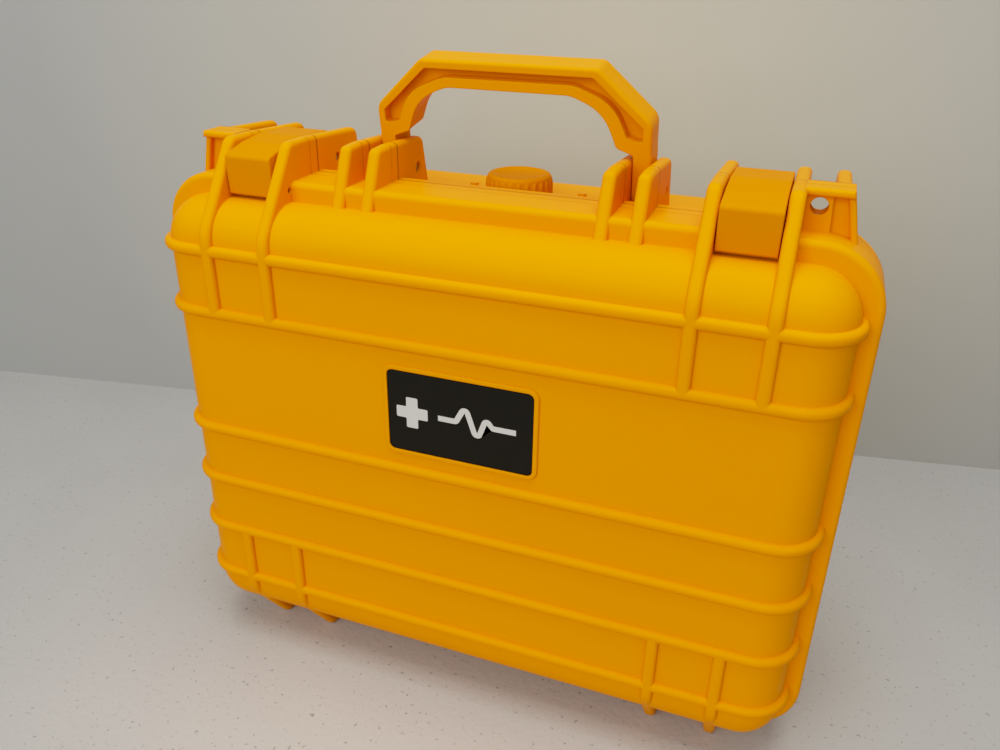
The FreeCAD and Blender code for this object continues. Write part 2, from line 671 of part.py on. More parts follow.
def lid_shell():
    forms = shell_form("lid", -1, LID_FACE, LID_EDGE, d.lid_rim)
    forms += shell_ribs("lid", -1, LID_FACE, LID_EDGE)
    holes = cavity("lid", -1, LID_FACE, LID_EDGE)
    for side, sign in SIDES.items():
        name = f"lid_{side}"
        for place, x in (("inner", LATCH_EAR_INNER), ("outer", LATCH_EAR_OUTER)):
            forms.append(lid_latch_ear(f"{name}_latch_ear_{place}", sign * x))
            forms += lid_lug(f"{name}_lug_{place}", sign * x)
        for place, x in (("inner", HANDLE_EAR_INNER), ("outer", HANDLE_EAR_OUTER)):
            forms.append(lid_handle_ear(f"{name}_handle_ear_{place}", sign * x))
        forms += lock_lug(f"{name}_lock", sign, -1, LID_EDGE)
        holes.append(lock_hole(f"{name}_lock_hole", sign, LID_EDGE - d.lock_plate - 1,
                               LID_EDGE + 1))
        holes.append(pin_hole(f"{name}_catch_hole", sign, LATCH_EAR_INNER, LATCH_EAR_OUTER,
                              CATCH_PIN, d.catch_pin_r))
        holes.append(pin_hole(f"{name}_hinge_hole", sign, LATCH_EAR_INNER, LATCH_EAR_OUTER,
                              HINGE_PIN, d.hinge_pin_r + d.bore_play))
        holes.append(latch_notch(f"{name}_notch", sign))
    frame_w = d.label_width + 2 * (d.label_frame + d.seal_play)
    frame_h = d.label_height + 2 * (d.label_frame + d.seal_play)
    frame = pad("lid_label_frame", "XZ", LID_FACE - d.frame_proud, LID_FACE + 1,
                rounded((d.label_x, LABEL_Z), frame_w, frame_h, d.label_corner + d.label_frame))
    soften(frame, d.frame_proud * 0.6, on(Y, LID_FACE - d.frame_proud))
    forms.append(frame)
    holes.append(pad("lid_label_seat", "XZ", LID_FACE - d.frame_proud - 1, LID_FACE,
                     rounded((d.label_x, LABEL_Z), d.label_width + 2 * d.seal_play,
                             d.label_height + 2 * d.seal_play, d.label_corner + d.seal_play)))
    holes.append(seal_ring("lid_seal_groove", LID_EDGE - d.seal_depth, LID_EDGE + 1,
                           d.seal_width + 2 * d.seal_play))
    return node("lid_shell", cut("lid_shell", fuse("lid_forms", forms), holes))


def base_shell():
    forms = shell_form("base", 1, BACK_FACE, BASE_EDGE, d.base_rim)
    forms += shell_ribs("base", 1, BACK_FACE, BASE_EDGE)
    holes = cavity("base", 1, BACK_FACE, BASE_EDGE)
    gap = d.ear_width + d.hinge_side_gap
    lugs = (("inner", LATCH_EAR_INNER + gap), ("outer", LATCH_EAR_OUTER - gap))
    for side, sign in SIDES.items():
        name = f"base_{side}"
        post = LATCH_EAR_OUTER + d.lock_far - d.ear_width / 2 - 1
        for place, x in (("inner", LATCH_EAR_INNER), ("outer", LATCH_EAR_OUTER), ("post", post)):
            forms.append(base_ear(f"{name}_latch_ear_{place}", sign * x,
                                  d.latch_ear_back + 4, 4, 3.0))
        for place, x in lugs:
            forms += base_lug(f"{name}_lug_{place}", sign * x)
        for place, x in (("inner", HANDLE_EAR_INNER), ("outer", HANDLE_EAR_OUTER)):
            forms.append(base_ear(f"{name}_handle_ear_{place}", sign * x,
                                  d.handle_ear_back + 7, 7, 2.0))
        forms += lock_lug(f"{name}_lock", sign, 1, BASE_EDGE)
        holes.append(lock_hole(f"{name}_lock_hole", sign, BASE_EDGE - 1,
                               BASE_EDGE + d.lock_plate + 1))
        holes.append(pin_hole(f"{name}_latch_hole", sign, LATCH_EAR_INNER, LATCH_EAR_OUTER,
                              LATCH_PIN, d.latch_pin_r))
        holes.append(pin_hole(f"{name}_handle_hole", sign, HANDLE_EAR_INNER, HANDLE_EAR_OUTER,
                              HANDLE_PIN, d.handle_pin_r))
        holes.append(pin_hole(f"{name}_hinge_hole", sign, LATCH_EAR_INNER, LATCH_EAR_OUTER,
                              HINGE_PIN, d.hinge_pin_r))
    for side, sign in SIDES.items():
        forms.append(cylinder(f"base_{side}_boss", Z, (sign * 30, VALVE_Y + 13), 2.2,
                              WALL_TOP - 1, WALL_TOP + 1.4))
    forms.append(seal_ring("base_tongue", BASE_EDGE - d.tongue, BASE_EDGE + 1, d.tongue_width))
    holes.append(cylinder("base_valve_hole", Z, (0, VALVE_Y), d.valve_r,
                          WALL_TOP - d.wall - 1, WALL_TOP + 1))
    return node("base_shell", cut("base_shell", fuse("base_forms", forms), holes))


def gasket():
    """Rests in the lid's groove; its open face is pressed by the base's tongue."""
    face = BASE_EDGE - d.tongue - d.seal_gap
    return node("lid_gasket", seal_ring("lid_gasket", LID_EDGE - d.seal_depth, face,
                                        d.seal_width))


# ---------------------------------------------------------------- pins


def cross_pin(label, sign, inner, outer, centre, radius):
    near = inner - d.ear_width / 2 + d.pin_recess
    far = outer + d.ear_width / 2 - d.pin_recess
    low, high = (near, far) if sign > 0 else (-far, -near)
    return node(label, cylinder(label, X, centre, radius, low, high))


def catch_dowels(side, sign):
    """Two short pins, one in each of the lid's ears, that end flush with the latch's gap."""
    half = d.latch_gap / 2
    spans = [(LATCH_EAR_INNER - d.ear_width / 2 + d.pin_recess, d.latch_centre - half),
             (d.latch_centre + half, LATCH_EAR_OUTER + d.ear_width / 2 - d.pin_recess)]
    dowels = []
    for i, (near, far) in enumerate(spans, start=1):
        low, high = (near, far) if sign > 0 else (-far, -near)
        dowels.append(cylinder(f"catch_dowel_{side}_{i}", X, CATCH_PIN, d.catch_pin_r, low, high))
    joined = doc.addObject("Part::Compound", f"catch_pins_{side}")
    joined.Links = dowels
    doc.recompute()
    return node(f"catch_pins_{side}", joined)


def pins():
    for side, sign in SIDES.items():
        cross_pin(f"hinge_pin_{side}", sign, LATCH_EAR_INNER, LATCH_EAR_OUTER, HINGE_PIN,
                  d.hinge_pin_r)
        cross_pin(f"latch_pin_{side}", sign, LATCH_EAR_INNER, LATCH_EAR_OUTER, LATCH_PIN,
                  d.latch_pin_r)
        catch_dowels(side, sign)
        cross_pin(f"handle_pin_{side}", sign, HANDLE_EAR_INNER, HANDLE_EAR_OUTER, HANDLE_PIN,
                  d.handle_pin_r)


# ---------------------------------------------------------------- latches


def latch(side, sign):
    """A lever on the base that folds down over the lid's catch pin."""
    half = d.latch_gap / 2 - d.latch_side_gap
    low, high = sign * d.latch_centre - half, sign * d.latch_centre + half
    py, pz = LATCH_PIN
    cy, cz = CATCH_PIN
    face = cy - d.latch_nose
    bottom = cz - d.latch_skirt
    crease = bottom + d.latch_face
    top = EAR_TOP - 1
    inner = face + d.latch_thick + 2.6
    name = f"latch_{side}"
    toe, brow = (face + 0.9, bottom), (face, crease)
    body = pad(name + "_body", "YZ", low, high, outline(
        toe, brow, (face + 15, crease + 3.6), (PARTING + 6, top), (py + 2, top - 1),
        (py + 8, pz + 7.5), (py + 8, pz - 3), (py + 3, pz - 7), (py - 3, pz - 7),
        (py - 7.4, pz - 2), (py - 8, top - d.latch_thick - 2),
        (PARTING + 2, top - d.latch_thick), (inner + 8, crease - 1),
        (inner, crease - 5), (inner, bottom)))
    for radius, (y, z) in ((2.4, brow), (1.0, toe), (26, (face + 15, crease + 3.6)),
                           (26, (PARTING + 6, top)), (4, (py + 8, pz + 7.5)),
                           (4, (py + 3, pz - 7)), (4, (py - 3, pz - 7))):
        y, z = Size.of(y).number, Size.of(z).number
        near = where(lambda p, y=y, z=z: abs(p.y - y) < 0.01 and abs(p.z - z) < 0.01)
        soften(body, radius, both(along(X), near))
    outside = where(lambda p: p.z > bottom.number + 1 and
                    (p.y < face.number + 0.95 or p.z > crease.number + 0.5))
    soften(body, 0.7, both(on(X, low, high), outside))
    hollow = pad(name + "_hollow", "YZ", low + d.latch_cheek, high - d.latch_cheek, outline(
        (inner - 2.4, crease - 6), (inner + 6, crease - 0.5), (PARTING + 2, top - 3.2),
        (py - 9, top - 4.4), (py - 9, top - 14), (inner - 2.4, top - 14)))
    slot_r = d.catch_pin_r + 0.2
    slot = pad(name + "_slot", "YZ", low - 1, high + 1, outline(
        (cy - slot_r, bottom - 1), (cy + slot_r, bottom - 1), (cy + slot_r, cz),
        (cy - slot_r, cz)))
    eye = cylinder(name + "_eye", X, CATCH_PIN, slot_r, low - 1, high + 1)
    bore = cylinder(name + "_bore", X, LATCH_PIN, d.latch_pin_r + d.bore_play, low - 1, high + 1)
    return node(name, cut(name, body, [hollow, slot, eye, bore]))


# ---------------------------------------------------------------- carrying handle


def handle():
    """A flat grip with a sunk panel in each face, drawn about its pivot, then leaned and placed."""
    half = d.handle_thick / 2
    low, high = -half, half
    top, cheek = d.handle_reach, d.handle_cheek
    under = top - d.handle_grip
    shoulder = d.handle_shoulder
    arm = d.handle_centre - d.handle_arm / 2
    outer_arm = d.handle_centre + d.handle_arm / 2

    def mirrored(points):
        return points + [(-x, z) for x, z in reversed(points)]

    body = pad("handle_body", "XZ", low, high, outline(*mirrored([
        (outer_arm, 0), (outer_arm, shoulder - 1), (d.handle_half, shoulder + 1),
        (d.handle_half, cheek), (d.handle_top, top)])))
    window = pad("handle_window", "XZ", low - 1, high + 1, outline(*mirrored([
        (arm, -1), (arm, shoulder), (d.handle_shoulder_x, shoulder + 3),
        (d.handle_shoulder_x - 6.5, under - 6.5), (d.handle_top - 12.5, under)])))

    def near(x, z):
        x, z = Size.of(x).number, Size.of(z).number
        return both(along(Y), where(lambda p: abs(abs(p.x) - x) < 0.01 and abs(p.z - z) < 0.01))

    soften(body, 5, near(d.handle_top, top))
    soften(body, 8, near(d.handle_half, cheek))
    crown = where(lambda p: p.z > shoulder.number + 1.5)
    soften(body, d.handle_soft, both(on(Y, low, high), crown))
    soften(window, 22, near(d.handle_shoulder_x - 6.5, under - 6.5))
    soften(window, 16, near(d.handle_top - 12.5, under))
    soften(window, 3, near(d.handle_shoulder_x, shoulder + 3))
    soften(window, 1, near(arm, shoulder))
    flange = d.handle_flange
    panel = [(d.handle_half - flange - 3.0, shoulder + 6.5),
             (d.handle_half - flange, shoulder + 6.5),
             (d.handle_half - flange, cheek - 2), (d.handle_top - 2, top - flange)]
    inner_edge = [(d.handle_half - flange - 7.5, shoulder + 8),
                  (d.handle_half - flange - 14.0, under - 3.0), (d.handle_top - 11.0, under + 4.6)]
    cuts = [window]
    depth = (d.handle_thick - d.handle_web) / 2
    for face, start, stop in (("front", low - 1, low + depth), ("rear", high - depth, high + 1)):
        points = inner_edge[::-1] + panel
        sunk = pad(f"handle_{face}_panel", "XZ", start, stop, outline(*mirrored(points)))
        soften(sunk, 22, near(*inner_edge[1]))
        soften(sunk, 18, near(*inner_edge[2]))
        soften(sunk, 1.6, near(*panel[0]))
        soften(sunk, 1.4, near(*panel[1]))
        soften(sunk, 3, near(*panel[3]))
        cuts.append(sunk)
    forms = [body]
    for side, sign in SIDES.items():
        low_x, high_x = (arm, outer_arm) if sign > 0 else (-outer_arm, -arm)
        forms.append(cylinder(f"handle_{side}_eye", X, (0, 0), half, low_x, high_x))
        cuts.append(cylinder(f"handle_{side}_bore", X, (0, 0),
                             d.handle_pin_r + d.bore_play, low_x - 1, high_x + 1))
    made = cut("handle", fuse("handle_forms", forms), cuts)
    made.Placement = FreeCAD.Placement(FreeCAD.Vector(), FreeCAD.Rotation(FreeCAD.Vector(1, 0, 0), 1))
    bind(made, ".Placement.Rotation.Angle", d.handle_lean)
    bind(made, ".Placement.Base.y", HANDLE_PIN[0])
    bind(made, ".Placement.Base.z", HANDLE_PIN[1])
    doc.recompute()
    return node("handle", made)


# ---------------------------------------------------------------- pressure valve


def valve():
    wall_in = WALL_TOP - d.wall
    ring = d.valve_seal_r
    flange_low = WALL_TOP + 0.4
    flange_top = flange_low + d.valve_flange
    body = fuse("valve_body_forms", [
        cylinder("valve_barrel", Z, (0, VALVE_Y), d.valve_r - 0.1, wall_in - 9, flange_top),
        cylinder("valve_plate", Z, (0, VALVE_Y), d.valve_flange_r, flange_low, flange_top)])
    groove = doc.addObject("Part::Torus", "valve_groove")
    seal = doc.addObject("Part::Torus", "valve_seal")
    for torus in (groove, seal):
        bind(torus, "Radius1", d.valve_r + 1.6)
        bind(torus, "Radius2", ring)
        bind(torus, ".Placement.Base.y", VALVE_Y)
        bind(torus, ".Placement.Base.z", WALL_TOP + ring)
    vent = cylinder("valve_vent", Z, (0, VALVE_Y), d.valve_bore_r, wall_in - 10, flange_top + 1)
    node("valve_body", cut("valve_body", body, [groove, vent]))
    node("valve_seal", seal)

    nut = doc.addObject("Part::Prism", "valve_nut_blank")
    nut.Polygon = 6
    bind(nut, "Circumradius", d.valve_nut_af / math.sqrt(3))
    bind(nut, "Height", d.valve_nut_high)
    bind(nut, ".Placement.Base.y", VALVE_Y)
    bind(nut, ".Placement.Base.z", wall_in - d.valve_nut_high)
    eye = cylinder("valve_nut_eye", Z, (0, VALVE_Y), d.valve_r - 0.1,
                   wall_in - d.valve_nut_high - 1, wall_in + 1)
    node("valve_nut", cut("valve_nut", nut, [eye]))
    node("valve_membrane", cylinder("valve_membrane", Z, (0, VALVE_Y), d.valve_bore_r,
                                    flange_low, flange_low + 0.4))

    low = WALL_TOP + d.knob_gap
    high = low + d.knob_high
    knob = pad("valve_knob_body", "XY", low, high, circle((0, VALVE_Y), d.knob_r))
    soften(knob, 1.6, on(Z, high))
    sketch = new_sketch(knob, "XY", low)
    draw_circle(sketch, (0, VALVE_Y + d.knob_r + d.flute_r * 0.35), d.flute_r)
    flute = knob.newObject("PartDesign::Pocket", "valve_knob_flute")
    flute.Profile = sketch
    flute.Reversed = True
    bind(flute, "Length", d.knob_high - 1.8)
    turns = knob.newObject("PartDesign::PolarPattern", "valve_knob_flutes")
    turns.Originals = [flute]
    hub = new_sketch(knob, "XY", low)
    draw_circle(hub, (0, VALVE_Y), d.knob_r)
    turns.Axis = (hub, ["N_Axis"])
    turns.Angle = 360
    turns.Occurrences = int(d.flutes.number)
    knob.Tip = turns
    doc.recompute()
    dish = doc.addObject("Part::Sphere", "valve_knob_dish")
    rim = d.knob_r - 4
    ball = (rim * rim) / (2 * d.knob_dish) + d.knob_dish / 2
    bind(dish, "Radius", ball)
    bind(dish, ".Placement.Base.y", VALVE_Y)
    bind(dish, ".Placement.Base.z", high - d.knob_dish + ball)
    under = cylinder("valve_knob_under", Z, (0, VALVE_Y), d.valve_flange_r + 0.5, low - 1,
                     flange_top + 0.3)
    return node("valve_knob", cut("valve_knob", knob, [dish, under]))


# ---------------------------------------------------------------- label


def label():
    face = LID_FACE - d.label_thick
    plate = pad("label_plate", "XZ", face, LID_FACE,
                rounded((d.label_x, LABEL_Z), d.label_width, d.label_height, d.label_corner))
    node("label_plate", plate)
    arm, reach, cross_x = 3.0, 8.6, -23.5
    cross = [(-arm, reach), (arm, reach), (arm, arm), (reach, arm), (reach, -arm), (arm, -arm),
             (arm, -reach), (-arm, -reach), (-arm, -arm), (-reach, -arm), (-reach, arm),
             (-arm, arm)]
    trace = [(-9.5, 0), (1.5, 0), (5.5, 10), (12, -11.5), (16.5, 4), (19, 0), (31, 0)]
    thick = 1.7
    upper = [(x, z + thick) for x, z in trace]
    lower = [(x, z - thick) for x, z in reversed(trace)]
    print_low = face - d.print_thick
    shapes = [pad("label_cross", "XZ", print_low, face,
                  outline(*[(cross_x + x, LABEL_Z + z) for x, z in cross])),
              pad("label_trace", "XZ", print_low, face,
                  outline(*[(Size.of(x), LABEL_Z + z) for x, z in upper + lower]))]
    node("label_print", fuse("label_print", shapes))


# ---------------------------------------------------------------- foam


def foam():
    """Plain blocks that fill the two shells, with pockets for what they hold."""
    play = 2 * d.foam_play
    width, height = MOUTH_WIDTH - play, MOUTH_HEIGHT - play
    corner = INNER_CORNER - d.band - d.foam_play
    edge = INNER_ROUND - d.band - d.foam_play
    back = BACK_FACE - d.wall - d.foam_play
    front = PARTING + d.foam_face
    block = pad("foam_block", "XZ", front, back, rounded((0, WALL_MID), width, height, corner))
    soften(block, edge, on(Y, back))
    hold = 2 * d.pocket_play
    pockets = [
        pad("foam_unit_pocket", "XZ", front - 1, UNIT_BACK + d.pocket_play,
            rounded((d.unit_x, MID_Z), d.unit_width + hold, d.unit_height + hold,
                    d.unit_corner + d.pocket_play)),
        pad("foam_pouch_pocket", "XZ", front - 1, POUCH_FRONT + d.pouch_thick + d.pocket_play,
            rounded((POUCH_X, MID_Z), d.pouch_width + hold, d.pouch_height + hold, 8)),
        cylinder("foam_valve_relief", Z, (0, VALVE_Y), d.valve_nut_af * 0.7,
                 WALL_TOP - d.wall - 13, WALL_TOP)]
    node("base_foam", cut("base_foam", block, pockets))
    lid_back = PARTING - d.foam_face
    lid_front = LID_FACE + d.wall + d.foam_play
    liner = pad("lid_foam", "XZ", lid_front, lid_back,
                rounded((0, WALL_MID), width, height, corner))
    soften(liner, edge, on(Y, lid_front))
    node("lid_foam", liner)


def pouch():
    bag = pad("electrode_pouch", "XZ", POUCH_FRONT, POUCH_FRONT + d.pouch_thick,
              rounded((POUCH_X, MID_Z), d.pouch_width, d.pouch_height, 7))
    soften(bag, 6, on(Y, POUCH_FRONT, POUCH_FRONT + d.pouch_thick))
    return node("electrode_pouch", bag)


# ---------------------------------------------------------------- the defibrillator

SHOCK = (d.unit_x + d.unit_width * 0.24, MID_Z - d.unit_height * 0.12)
POWER = (d.unit_x - d.unit_width * 0.28, MID_Z + d.unit_height * 0.22)
STATUS = (d.unit_x + d.unit_width * 0.3, MID_Z + d.unit_height * 0.27)
SPEAKER = (d.unit_x - d.unit_width * 0.22, MID_Z - d.unit_height * 0.2)
SOCKET = (d.unit_x, MID_Z + d.unit_height / 2 - 26)
SCREEN = (d.unit_x + 8, MID_Z + d.unit_height * 0.17)
GRILLE_R = 20.0
SOCKET_WIDTH, SOCKET_HEIGHT, SOCKET_DEEP = 22.0, 12.0, 13.0
SCREEN_WIDTH, SCREEN_HEIGHT = 62.0, 38.0
LAMP_R = 5.0
BOSS_R = 5.0


def housing():
    full = ((d.unit_x, MID_Z), d.unit_width, d.unit_height, d.unit_corner)
    room = (full[0], d.unit_width - 2 * d.unit_wall, d.unit_height - 2 * d.unit_wall,
            d.unit_corner - d.unit_wall)
    inner_round = d.unit_round - d.unit_wall
    front = pad("unit_front_form", "XZ", UNIT_FACE, UNIT_SPLIT, rounded(*full))
    soften(front, d.unit_round, on(Y, UNIT_FACE))
    inside = pad("unit_front_room", "XZ", UNIT_FACE + d.unit_wall, UNIT_SPLIT + 1, rounded(*room))
    soften(inside, inner_round, on(Y, UNIT_FACE + d.unit_wall))
    through = (UNIT_FACE - 1, UNIT_FACE + d.unit_wall + 1)
    openings = [inside,
                cylinder("shock_opening", Y, SHOCK, d.shock_r + d.button_play, *through),
                cylinder("power_opening", Y, POWER, d.power_r + d.button_play, *through),
                cylinder("speaker_opening", Y, SPEAKER, GRILLE_R, *through),
                cylinder("status_opening", Y, STATUS, LAMP_R, *through),
                pad("socket_opening", "XZ", *through,
                    rounded(SOCKET, SOCKET_WIDTH, SOCKET_HEIGHT, 3)),
                pad("screen_opening", "XZ", *through,
                    rounded(SCREEN, SCREEN_WIDTH, SCREEN_HEIGHT, 3))]
    bosses = []
    for i, (u, v) in enumerate(screw_places(), start=1):
        bosses.append(cylinder(f"screw_boss_{i}", Y, (u, v), BOSS_R, UNIT_FACE + d.unit_wall - 1,
                               UNIT_SPLIT))
    pilots = [cylinder(f"screw_pilot_{i}", Y, (u, v), d.screw_r, UNIT_SPLIT - 10, UNIT_SPLIT + 1)
              for i, (u, v) in enumerate(screw_places(), start=1)]
    front = cut("unit_front_hollow", front, openings)
    node("unit_front_housing",
         cut("unit_front_housing", fuse("unit_front_bosses", [front] + bosses), pilots))

    rear = pad("unit_rear_form", "XZ", UNIT_SPLIT, UNIT_BACK, rounded(*full))
    soften(rear, d.unit_round, on(Y, UNIT_BACK))
    hollow = pad("unit_rear_room", "XZ", UNIT_SPLIT - 1, UNIT_BACK - d.unit_wall, rounded(*room))
    soften(hollow, inner_round, on(Y, UNIT_BACK - d.unit_wall))
    bay = pad("battery_bay", "XZ", UNIT_BACK - d.unit_wall - 1, UNIT_BACK + 1,
              rounded(BATTERY, BATTERY_WIDTH + 1, BATTERY_HEIGHT + 1, 4.5))
    posts, holes = [], [hollow]
    for i, (u, v) in enumerate(screw_places(), start=1):
        posts.append(cylinder(f"screw_post_{i}", Y, (u, v), BOSS_R, UNIT_SPLIT,
                              UNIT_BACK - d.unit_wall + 1))
        holes.append(cylinder(f"screw_sink_{i}", Y, (u, v), d.screw_head_r + 0.2,
                              UNIT_BACK - 6, UNIT_BACK + 1))
        holes.append(cylinder(f"screw_hole_{i}", Y, (u, v), d.screw_r, UNIT_SPLIT - 1,
                              UNIT_BACK))
    shell = cut("unit_rear_hollow", rear, [hollow])
    holes = holes[1:] + [bay]
    node("unit_rear_housing",
         cut("unit_rear_housing", fuse("unit_rear_posts", [shell] + posts), holes))


BATTERY_WIDTH, BATTERY_HEIGHT, BATTERY_DEEP = 92.0, 56.0, 24.0
BATTERY = (d.unit_x - 30, MID_Z - 38)


def screw_places():
    dx, dz = d.unit_width / 2 - 12, d.unit_height / 2 - 12
    return [(d.unit_x + sx * dx, MID_Z + sz * dz) for sx in (-1, 1) for sz in (-1, 1)]


def unit_screws():
    screws = []
    for i, (u, v) in enumerate(screw_places(), start=1):
        head = cylinder(f"screw_head_{i}", Y, (u, v), d.screw_head_r, UNIT_BACK - 6,
                        UNIT_BACK - 3.6)
        shank = cylinder(f"screw_shank_{i}", Y, (u, v), d.screw_r, UNIT_SPLIT - 8,
                         UNIT_BACK - 5)
        slot = pad(f"screw_slot_{i}", "XZ", UNIT_BACK - 4.4, UNIT_BACK - 3,
                   outline((u - 2, v - 0.4), (u + 2, v - 0.4), (u + 2, v + 0.4), (u - 2, v + 0.4)))
        screws.append(cut(f"screw_{i}", fuse(f"screw_form_{i}", [head, shank]), [slot]))
    joined = doc.addObject("Part::Compound", "unit_screws")
    joined.Links = screws
    doc.recompute()
    return node("unit_screws", joined)


def push_button(label, centre, radius, proud):
    """A domed button that rests proud of the face and can sink by its travel."""
    low = UNIT_FACE - proud
    cap = pad(label + "_cap", "XZ", low, UNIT_FACE + d.unit_wall + 2, circle(centre, radius))
    soften(cap, 1.2, on(Y, low))
    collar = cylinder(label + "_collar", Y, centre, radius + 1.6, UNIT_FACE + d.unit_wall + 0.2,
                      UNIT_FACE + d.unit_wall + 2)
    return node(label, fuse(label, [cap, collar]))


def unit_controls():
    push_button("shock_button", SHOCK, d.shock_r, 2.4)
    push_button("power_button", POWER, d.power_r, 2.0)
    for name, centre, radius in (("shock", SHOCK, d.shock_r), ("power", POWER, d.power_r)):
        ring = pad(f"{name}_button_ring", "XZ", UNIT_FACE - 1.4, UNIT_FACE,
                   circle(centre, radius + 4.5), circle(centre, radius + 0.8))
        soften(ring, 0.6, on(Y, UNIT_FACE - 1.4))
        node(f"{name}_button_ring", ring)
    lens = pad("status_lamp", "XZ", UNIT_FACE - 0.8, UNIT_FACE + d.unit_wall,
               circle(STATUS, LAMP_R))
    soften(lens, 0.6, on(Y, UNIT_FACE - 0.8))
    node("status_lamp", lens)
    window = pad("screen_window", "XZ", UNIT_FACE, UNIT_FACE + d.unit_wall,
                 rounded(SCREEN, SCREEN_WIDTH, SCREEN_HEIGHT, 3))
    node("screen_window", window)
    display = pad("display_module", "XZ", UNIT_FACE + d.unit_wall + 0.2,
                  UNIT_FACE + d.unit_wall + 3.4,
                  rounded(SCREEN, SCREEN_WIDTH + 6, SCREEN_HEIGHT + 6, 1.5))
    node("display_module", display)


def speaker():
    plate = cylinder("grille_plate", Y, SPEAKER, GRILLE_R, UNIT_FACE, UNIT_FACE + d.unit_wall)
    slots = []
    for i in range(-3, 4):
        v = SPEAKER[1] + i * 5
        reach = math.sqrt((GRILLE_R - 3) ** 2 - (5 * i) ** 2) if abs(i) < 3.4 else 0
        slots.append(pad(f"grille_slot_{i + 4}", "XZ", UNIT_FACE - 1,
                         UNIT_FACE + d.unit_wall + 1,
                         outline((SPEAKER[0] - reach, v - 1), (SPEAKER[0] + reach, v - 1),
                                 (SPEAKER[0] + reach, v + 1), (SPEAKER[0] - reach, v + 1))))
    node("speaker_grille", cut("speaker_grille", plate, slots))
    basket = cylinder("speaker_basket", Y, SPEAKER, GRILLE_R - 1, UNIT_FACE + d.unit_wall + 0.3,
                      UNIT_FACE + d.unit_wall + 4)
    magnet = cylinder("speaker_magnet", Y, SPEAKER, 11, UNIT_FACE + d.unit_wall + 3,
                      UNIT_FACE + d.unit_wall + 10)
    node("speaker", fuse("speaker", [basket, magnet]))


def electrode_socket():
    low, high = UNIT_FACE, UNIT_FACE + SOCKET_DEEP
    block = pad("socket_block", "XZ", low, high, rounded(SOCKET, SOCKET_WIDTH, SOCKET_HEIGHT, 3))
    mouth = pad("socket_mouth", "XZ", low - 1, high - 3,
                rounded(SOCKET, SOCKET_WIDTH - 5, SOCKET_HEIGHT - 4, 2))
    node("electrode_socket", cut("electrode_socket", block, [mouth]))


def electronics():
    board_low = UNIT_SPLIT + 1
    board = pad("circuit_board", "XZ", board_low, board_low + d.board_thick,
                rounded((d.unit_x, MID_Z), d.unit_width - 44, d.unit_height - 44, 3))
    node("circuit_board", board)
    cap_y = board_low + d.board_thick + 13.5
    node("capacitor", cylinder("capacitor", X, (cap_y, MID_Z + 44), 13,
                               d.unit_x - 60, d.unit_x + 4))
    coil_low = board_low + d.board_thick + 0.3
    core = pad("transformer_core", "XZ", coil_low, coil_low + 20,
               rounded((d.unit_x + 44, MID_Z + 40), 34, 30, 2))
    node("transformer", core)
    cells = pad("battery_form", "XZ", UNIT_BACK - BATTERY_DEEP, UNIT_BACK - 0.4,
                rounded(BATTERY, BATTERY_WIDTH, BATTERY_HEIGHT, 4))
    soften(cells, 1.0, on(Y, UNIT_BACK - 0.4))
    grip = pad("battery_grip", "XZ", UNIT_BACK - 2, UNIT_BACK,
               rounded((BATTERY[0], BATTERY[1] + BATTERY_HEIGHT * 0.3), 30, 7, 3))
    node("battery_pack", cut("battery_pack", cells, [grip]))


# ---------------------------------------------------------------- build, check and write


def check(things):
    for thing in doc.Objects:
        bad = {"Invalid", "Error"} & set(thing.State)
        if bad:
            raise RuntimeError(f"{thing.Label} is {sorted(bad)}")
    for thing in things:
        shape = thing.Shape
        if shape.isNull() or not shape.isValid() or not shape.Solids:
            raise RuntimeError(f"{thing.Label} has no valid solid")


def write(things):
    os.makedirs("parts", exist_ok=True)
    for thing in things:
        thing.Shape.exportStep(f"parts/{thing.Label}.step")
        volume = thing.Shape.Volume / 1000
        print(f"{thing.Label}: {len(thing.Shape.Solids)} solid(s), {volume:.2f} cm3")


lid_shell()
base_shell()
gasket()
pins()
for side_name, side_sign in SIDES.items():
    latch(side_name, side_sign)
handle()
valve()
label()
foam()
pouch()
housing()
unit_screws()
unit_controls()
speaker()
electrode_socket()
electronics()
doc.recompute()
check(NODES)
write(NODES)
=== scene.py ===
import json
import math

import bmesh
import bpy
import numpy as np
from mathutils import Matrix, Vector
from mathutils import noise as value_noise


